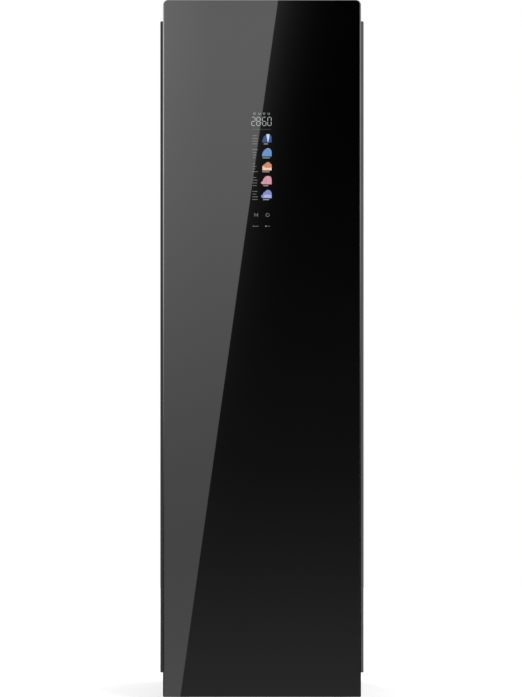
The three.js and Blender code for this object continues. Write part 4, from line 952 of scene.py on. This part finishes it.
def in_cells(cells):
    """A test for the places that lie in a cell. Each cell is its reach along x and along z."""
    return lambda at, *facing: any(x[0] < at.x < x[1] and z[0] < at.z < z[1] for x, z in cells)


def cylinder(name, start, end, radius, sides):
    """A round bar from one point to another."""
    start, end = Vector(start), Vector(end)
    run = end - start
    deselect()
    bpy.ops.mesh.primitive_cylinder_add(
        vertices=sides,
        radius=radius,
        depth=run.length,
        location=(start + end) / 2,
        rotation=run.to_track_quat("Z", "Y").to_euler(),
    )
    return settle(bpy.context.object, name)


slots = [LOUVRE["foot"] + number * LOUVRE["pitch"] for number in range(LOUVRE["count"])]
short_ribs = [SHORT_RIB["foot"] + number * SHORT_RIB["pitch"] for number in range(SHORT_RIB["count"])]
short_span = (-SHORT_RIB["half"], SHORT_RIB["half"])
rib_cells = [(LONG_RIB["x"], LONG_RIB["z"]), ((-LONG_RIB["x"][1], -LONG_RIB["x"][0]), LONG_RIB["z"])]
rib_cells += [(short_span, (foot, foot + SHORT_RIB["height"])) for foot in short_ribs]
slot_cells = [(LOUVRE["x"], (foot, foot + LOUVRE["height"])) for foot in slots]
inlet_low, inlet_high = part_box("power_inlet")
inlet_cell = (
    (inlet_low.x + INLET_FLANGE, inlet_high.x - INLET_FLANGE),
    (inlet_low.z + INLET_FLANGE, inlet_high.z - INLET_FLANGE),
)
cover_corner = Vector((cover_low.x, cover_high.y, cover_low.z))
cover_size = cover_high - cover_corner
cover_middle = (cover_corner + cover_high) / 2
cover = plane("back_cover_sheet", cover_middle, (-QUARTER_TURN, 0, 0), cover_size.x, cover_size.z)
x_cuts = [place for cell in rib_cells + [slot_cells[0], inlet_cell] for place in cell[0]]
x_cuts += [LOUVRE["x"][0] + FLAP_END, LOUVRE["x"][1] - FLAP_END]
z_cuts = [place for cell in rib_cells + slot_cells + [inlet_cell] for place in cell[1]]
z_cuts += [foot + LOUVRE["height"] + FLAP_HEIGHT for foot in slots]
score(cover, "x", x_cuts)
score(cover, "z", z_cuts)
pick_faces(cover, in_cells(rib_cells))
bpy.ops.mesh.inset(thickness=RIB_SLOPE, depth=0, use_even_offset=True)
bpy.ops.transform.translate(value=(0, -RIB_DEPTH, 0))
close_mesh()
pick_faces(cover, in_cells(slot_cells + [inlet_cell]))
bpy.ops.mesh.delete(type="FACE")
close_mesh()
flap_span = (LOUVRE["x"][0] + FLAP_END / 2, LOUVRE["x"][1] - FLAP_END / 2)
flap_feet = [foot + LOUVRE["height"] for foot in slots]
pick_points(cover, in_cells([(flap_span, (foot - NEAR, foot + NEAR)) for foot in flap_feet]))
bpy.ops.transform.translate(value=(0, -FLAP_DEPTH, 0))
close_mesh()
open_mesh(cover, action="SELECT")
bpy.ops.mesh.dissolve_limited(angle_limit=FLAT)
close_mesh()
modify(cover, "SOLIDIFY", thickness=SHEET, offset=-1)
SCREW = {"radius": 3.8 * MM, "gap": 0.25 * MM, "flush": 0.1 * MM, "inset": 11 * MM, "sides": 20}
SCREW_ROWS = (30 * MM, 480 * MM, 930 * MM, 1380 * MM, 1830 * MM)
SCREW_EDGE = (0.12 * MM, 1)
RECESS = {"reach": 2.2 * MM, "half": 0.5 * MM, "depth": 0.7 * MM}


def flush_screws(name, places, face):
    """Cross-head screws that lie flush in a face that looks backwards, at x and z places."""
    screws = []
    for x, z in places:
        head_ends = (x, face - SHEET, z), (x, face - SCREW["flush"], z)
        head = cylinder("head", *head_ends, SCREW["radius"], SCREW["sides"])
        arms = []
        for across, up in ((RECESS["reach"], RECESS["half"]), (RECESS["half"], RECESS["reach"])):
            near = (x - across, face - RECESS["depth"], z - up)
            arms.append(block("arm", near, (x + across, face + SHEET, z + up)))
        screws.append(carve(head, *arms))
    return merge(screws, name)


screw_places = [(side * (cover_high.x - SCREW["inset"]), z) for side in (-1, 1) for z in SCREW_ROWS]
hole_front = cover_low.y - CUT_OVERRUN
hole_back = cover_high.y + CUT_OVERRUN
hole_radius = SCREW["radius"] + SCREW["gap"]
screw_holes = []
for x, z in screw_places:
    screw_holes.append(cylinder("hole", (x, hole_front, z), (x, hole_back, z), hole_radius, SCREW["sides"]))
carve(cover, *screw_holes)
fit(soften(cover, PRESSED_EDGE, PRESSED_ANGLE), "cabinet", dark_steel, "dark_steel", "back_cover")
screws = flush_screws("back_cover_screws", screw_places, cover_high.y)
fit(soften(screws, SCREW_EDGE), "cabinet", bare_steel, "bare_steel")

# Mains inlet. A moulded plastic socket that snaps into a cut-out of the back cover. Three bare metal blades
# stand on the floor of its recess.
LINER_EDGE = (0.6 * MM, 2)
INLET_FLOOR = 18 * MM
BLADE = {"half_width": 1 * MM, "half_height": 2 * MM, "length": 14 * MM, "sunk": 1 * MM}
BLADE_PLACES = ((-7 * MM, -2 * MM), (0, 3 * MM), (7 * MM, -2 * MM))
refine("power_inlet", "cabinet", pad_plastic, "dark_plastic", LINER_EDGE)
inlet_middle = (inlet_low + inlet_high) / 2
blade_root = cover_high.y - INLET_FLOOR
blades = []
for across, up in BLADE_PLACES:
    x, z = inlet_middle.x + across, inlet_middle.z + up
    blade = block(
        "blade",
        (x - BLADE["half_width"], blade_root - BLADE["sunk"], z - BLADE["half_height"]),
        (x + BLADE["half_width"], blade_root + BLADE["length"], z + BLADE["half_height"]),
    )
    blades.append(soften(blade, SHELL_EDGE))
fit(merge(blades, "power_inlet_blades"), "cabinet", bare_steel, "bare_steel")

# Cavity. The liners and the ceiling are vacuum formed from white plastic and foamed in behind; the front
# frame and the deck are moulded in a greyer one. A frosted lamp lens is set in the ceiling's front.
MOULDED_EDGE = (0.8 * MM, 2)
TRIM_EDGE = (0.3 * MM, 1)
deck_plastic = finish("deck_plastic", (0.5, 0.52, 0.54), (0.48, 0.5, 0.52), 0.42, bump=0.02 * MM)
for name in ("liner_right", "liner_left", "liner_back", "ceiling_panel"):
    refine(name, "cabinet", liner_plastic, "liner_plastic", LINER_EDGE)
for name in ("front_frame", "deck"):
    refine(name, "cabinet", deck_plastic, "deck_plastic", MOULDED_EDGE)
for name in ("insulation_right", "insulation_left", "insulation_back"):
    paint(NODES[name], foam_material)
LAMP = {"half": 120 * MM, "behind_frame": 30 * MM, "width": 22 * MM, "drop": 6 * MM}
LAMP_ROUND = (2.5 * MM, 4)
lamp_front = high("front_frame").y + LAMP["behind_frame"]
ceiling_foot = low("ceiling_panel").z
lens = block(
    "cavity_lamp_lens",
    (-LAMP["half"], lamp_front, ceiling_foot - LAMP["drop"]),
    (LAMP["half"], lamp_front + LAMP["width"], ceiling_foot),
)
round_edges(lens, lambda at, run: at.z < ceiling_foot - NEAR, *LAMP_ROUND)
LAMP_GLOW = {"Emission Color": (0.9, 0.95, 1, 1), "Emission Strength": 0.35}
frosted = finish(
    "frosted_lens", (0.86, 0.88, 0.9), (0.82, 0.84, 0.86), 0.5, fixed=LAMP_GLOW, bump=0.02 * MM
)
fit(soften(lens, TRIM_EDGE), "cabinet", frosted, "liner_plastic")

# Air grille. Dark plastic vanes stand in the seven slots at the top of the back liner, in front of a thin
# plate. Plate and vanes are one moulding.
GRILLE = {"count": 7, "pitch": 26 * MM, "width": 9.6 * MM, "height": 69.6 * MM, "below_ceiling": 60.2 * MM}
VANE = {"pitch": 5 * MM, "thick": 1.2 * MM, "depth": 1.9 * MM, "count": 13, "foot": 3.8 * MM}
VANE_EDGE = (0.2 * MM, 1)
GRILLE_PLATE = 0.5 * MM


def repeat(piece, step, count):
    """Copies a piece in a row, a step apart."""
    offset = {"use_relative_offset": False, "use_constant_offset": True, "constant_offset_displace": step}
    return modify(piece, "ARRAY", **offset, count=count)


grille_back = high("liner_back").y - NEAR
grille_top = high("liner_back").z - GRILLE["below_ceiling"]
grille_foot = grille_top - GRILLE["height"]
grille_left = -GRILLE["pitch"] * (GRILLE["count"] - 1) / 2 - GRILLE["width"] / 2
grille_right = grille_left + GRILLE["width"]
plate_front = grille_back - GRILLE_PLATE
vane_foot = grille_foot + VANE["foot"]
plate = block("plate", (grille_left, plate_front, grille_foot), (grille_right, grille_back, grille_top))
vane = block(
    "vane",
    (grille_left, plate_front - VANE["depth"], vane_foot),
    (grille_right, plate_front, vane_foot + VANE["thick"]),
)
repeat(soften(vane, VANE_EDGE), (0, 0, VANE["pitch"]), VANE["count"])
grille = repeat(merge([plate, vane], "back_air_grille"), (GRILLE["pitch"], 0, 0), GRILLE["count"])
fit(grille, "cabinet", pad_plastic, "dark_plastic")

# Shaker. Two ground steel rods in a pressed frame carry the carriage; a gear motor turns a disc whose pin
# runs in the carriage's yoke, so that the hanger bar goes to and fro with the clothes.
CAST_EDGE = (1.2 * MM, 3)
refine("shaker_rails", "cabinet", bare_steel, "bare_steel", FINE_EDGE)
refine("shaker_motor", "cabinet", dark_steel, "dark_steel", CAST_EDGE)
refine("crank_disc", "crank", bare_steel, "bare_steel", SHELL_EDGE)
refine("shaker_carriage", "shaken_bar", pad_plastic, "dark_plastic", MOULDED_EDGE)
bar_steel = finish(
    "bar_steel", (0.6, 0.6, 0.61), (0.55, 0.55, 0.56), 0.22, 1.0, stretch=(0.03, 1, 1), bump=0.006 * MM
)
refine("hanger_bar", "shaken_bar", bar_steel, "bare_steel", ROUND_EDGE)

# Hangers. Moulded in one piece of smooth pale plastic, with wide, fully rounded shoulders and a slim hook
# that rests in a groove of the bar.
SHOULDER_ROUND = 7 * MM
SHOULDER_STEPS = 5
SHOULDER_DROP = 42 * MM
hanger_plastic = finish("hanger_plastic", (0.62, 0.62, 0.6), (0.58, 0.58, 0.56), 0.34, bump=0.012 * MM)
for place in ("left", "centre", "right"):
    name = "hanger_" + place
    hanger = solid_copy(name)
    hanger_low, hanger_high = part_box(name)
    shoulder_top = hanger_high.z - SHOULDER_DROP
    middle = (hanger_low + hanger_high) / 2
    half = (hanger_high - hanger_low) / 2
    round_edges(
        hanger,
        lambda at, run: at.z < shoulder_top
        and (abs(abs(at.x - middle.x) - half.x) < NEAR or abs(at.y - middle.y) > half.y - SHOULDER_ROUND),
        SHOULDER_ROUND,
        SHOULDER_STEPS,
    )
    fit(soften(hanger, CAST_EDGE), place + "_hanger", hanger_plastic, "hanger_plastic", name)

# Control box. A dark plastic case with a snap lid, above the ceiling. It holds the board that runs the
# motors, the pumps and the lamp.
refine("control_box", "cabinet", pad_plastic, "dark_plastic", CAST_EDGE)

# Shelf and steam nozzle. The shelf is one moulding and lifts off the ledges in the liners. The nozzle is a
# dark plastic insert in the deck.
LIFTED_EDGE = (1 * MM, 3)
refine("shelf", "lift_off_shelf", deck_plastic, "deck_plastic", LIFTED_EDGE, in_quads=True)
refine("steam_nozzle", "cabinet", pad_plastic, "dark_plastic", ROUND_EDGE)

# Tank bay and tanks. The bay is moulded in dark plastic. Each tank is blown from clear smoke-tinted plastic,
# with a lid that clips over it, a filler cap and a folding handle.
TANK_CLEAR = {"Transmission Weight": 0.85, "IOR": 1.49}
TANK_GRAIN = {"bump": 0.01 * MM, "rough_spread": 0.06}
tank_plastic = finish(
    "tank_plastic", (0.45, 0.5, 0.53), (0.42, 0.47, 0.5), 0.12, fixed=TANK_CLEAR, **TANK_GRAIN
)
TANK_FIELD = {"edge": 10 * MM, "slope": 1.6 * MM, "depth": 0.9 * MM}
CAP_RIM = {"edge": 3 * MM, "slope": 1 * MM, "depth": 2.5 * MM}
CAP_LEAST_SIDES = 9
LEVELS = {"foot": 46 * MM, "pitch": 20 * MM, "count": 6, "half": 9 * MM, "height": 2 * MM, "raise": 0.6 * MM}
SHORT_MARK_SHARE = 0.6
MARK_EDGE = (0.2 * MM, 2)
refine("tank_bay", "cabinet", pad_plastic, "dark_plastic", MOULDED_EDGE)
for tank, body in (("supply", "clean_water"), ("drain", "used_water")):
    tank_low, tank_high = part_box(tank + "_tank")
    tank_middle = (tank_low + tank_high) / 2
    walls = ((tank_low.x, tank_high.x), (tank_low.y, tank_high.y))
    tank_shell = solid_copy(tank + "_tank")
    press_faces(
        tank_shell,
        lambda at, facing: abs(facing.z) < ACROSS
        and min(abs(part - wall) for part, pair in zip(at, walls) for wall in pair) < NEAR,
        TANK_FIELD,
    )
    fit(soften(tank_shell, ROUND_EDGE), body + "_tank", tank_plastic, "smoke_plastic", tank + "_tank")
    field_face = tank_low.y + TANK_FIELD["depth"]
    marks = []
    for number in range(LEVELS["count"]):
        half = LEVELS["half"] * (1 if number % 2 else SHORT_MARK_SHARE)
        foot = tank_low.z + LEVELS["foot"] + number * LEVELS["pitch"]
        mark = block(
            "mark",
            (tank_middle.x - half, field_face - LEVELS["raise"], foot),
            (tank_middle.x + half, field_face, foot + LEVELS["height"]),
        )
        marks.append(soften(mark, MARK_EDGE))
    fit(merge(marks, tank + "_tank_marks"), body + "_tank", hanger_plastic, "hanger_plastic")
    lid = solid_copy(tank + "_tank_lid")
    upper_faces = [face for face in lid.data.polygons if face.normal.z > ALONG]
    round_faces = [face for face in upper_faces if len(face.vertices) >= CAP_LEAST_SIDES]
    cap_middle = max(round_faces, key=lambda face: face.center.z).center.copy()
    press_faces(lid, lambda at, facing: (at - cap_middle).length < NEAR, CAP_RIM)
    fit(soften(lid, ROUND_EDGE), body + "_tank", pad_plastic, "dark_plastic", tank + "_tank_lid")
    handle = tank + "_tank_handle"
    refine(handle, body + "_handle", hanger_plastic, "hanger_plastic", LIFTED_EDGE, in_quads=True)

# Lint filter. A plastic cassette that lifts out of the deck by its tab. A screen of crossing steel wires is
# moulded in behind its bars.
WIRE = {"radius": 0.2 * MM, "sides": 6}
WIRE_PITCH = 2 * MM
SCREEN_MARGIN = Vector((1, 0, 1)) * 6 * MM
refine("lint_filter", "filter", deck_plastic, "deck_plastic", FINE_EDGE)
screen_low, screen_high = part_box("lint_filter")
screen_y = (screen_low.y + screen_high.y) / 2
screen_low += SCREEN_MARGIN
screen_high = Vector((screen_high.x, 0, low("deck").z)) - SCREEN_MARGIN
upright_y = screen_y - WIRE["radius"]
crossing_y = screen_y + WIRE["radius"]
upright_ends = [(screen_low.x, upright_y, z) for z in (screen_low.z, screen_high.z)]
crossing_ends = [(x, crossing_y, screen_low.z) for x in (screen_low.x, screen_high.x)]
upright = cylinder("upright", *upright_ends, **WIRE)
crossing = cylinder("crossing", *crossing_ends, **WIRE)
repeat(upright, (WIRE_PITCH, 0, 0), 1 + int((screen_high.x - screen_low.x) / WIRE_PITCH))
repeat(crossing, (0, 0, WIRE_PITCH), 1 + int((screen_high.z - screen_low.z) / WIRE_PITCH))
fit(merge([upright, crossing], "lint_filter_screen"), "filter", bare_steel, "bare_steel")

# Heat pump. Two coils of copper tube pass through stacks of thin aluminium fins between steel end plates. A
# copper line runs from each to the compressor, a welded and painted steel can on a foot plate.
FIN_PITCH = 3.2 * MM
FIN_THICK = 0.3 * MM
FIN_MARGIN = 2 * MM
FIN_CORNER_STEPS = 2
CAN_EDGE = (2 * MM, 3)
fin_aluminium = finish("fin_aluminium", (0.66, 0.67, 0.68), (0.6, 0.61, 0.62), 0.34, 1.0, bump=0.01 * MM)
copper = finish("copper_line", (0.72, 0.36, 0.22), (0.6, 0.27, 0.16), 0.28, 1.0, mottle_scale=40)
for name in ("evaporator", "condenser"):
    coil = refine(name, "cabinet", bare_steel, "fin_aluminium", TRIM_EDGE)
    left_faces = [face for face in coil.data.polygons if face.normal.x < -ALONG]
    end_x = max(left_faces, key=lambda face: face.area).center.x
    coil.data.materials.append(copper)
    for face in coil.data.polygons:
        if face.center.x < end_x - NEAR:
            face.material_index = 1
    coil_low, coil_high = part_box(name)
    plate_depths = [point.co.y for point in coil.data.vertices if abs(point.co.x - coil_high.x) < NEAR]
    fins = block(
        name + "_fins",
        (end_x + FIN_PITCH, min(plate_depths) + FIN_MARGIN, coil_low.z + 2 * FIN_MARGIN),
        (end_x + FIN_PITCH + FIN_THICK, max(plate_depths) - FIN_MARGIN, coil_high.z - FIN_MARGIN),
    )
    round_edges(fins, lambda at, run: abs(run.x) > ALONG, FIN_MARGIN, FIN_CORNER_STEPS)
    repeat(fins, (FIN_PITCH, 0, 0), int((coil_high.x - end_x) / FIN_PITCH) - 1)
    fit(fins, "cabinet", fin_aluminium, "fin_aluminium")
compressor_paint = finish(
    "compressor_paint",
    (0.012, 0.012, 0.013),
    (0.02, 0.02, 0.022),
    0.24,
    bump=0.06 * MM,
    grain_scale=400,
)
refine("compressor", "cabinet", compressor_paint, "dark_steel", CAN_EDGE)

# Steam generator, pumps and blower. The generator is a bare steel tank. The pumps and the blower's housing
# and wheel are moulded in dark plastic, and its motor is a coated steel can.
refine("steam_generator", "cabinet", bare_steel, "bare_steel", CAST_EDGE)
for name in ("feed_pump", "drain_pump"):
    refine(name, "cabinet", pad_plastic, "dark_plastic", ROUND_EDGE)
refine("blower_housing", "cabinet", pad_plastic, "dark_plastic", MOULDED_EDGE)
refine("blower_wheel", "fan", pad_plastic, "dark_plastic", TRIM_EDGE)
refine("blower_motor", "cabinet", dark_steel, "dark_steel", LIFTED_EDGE)
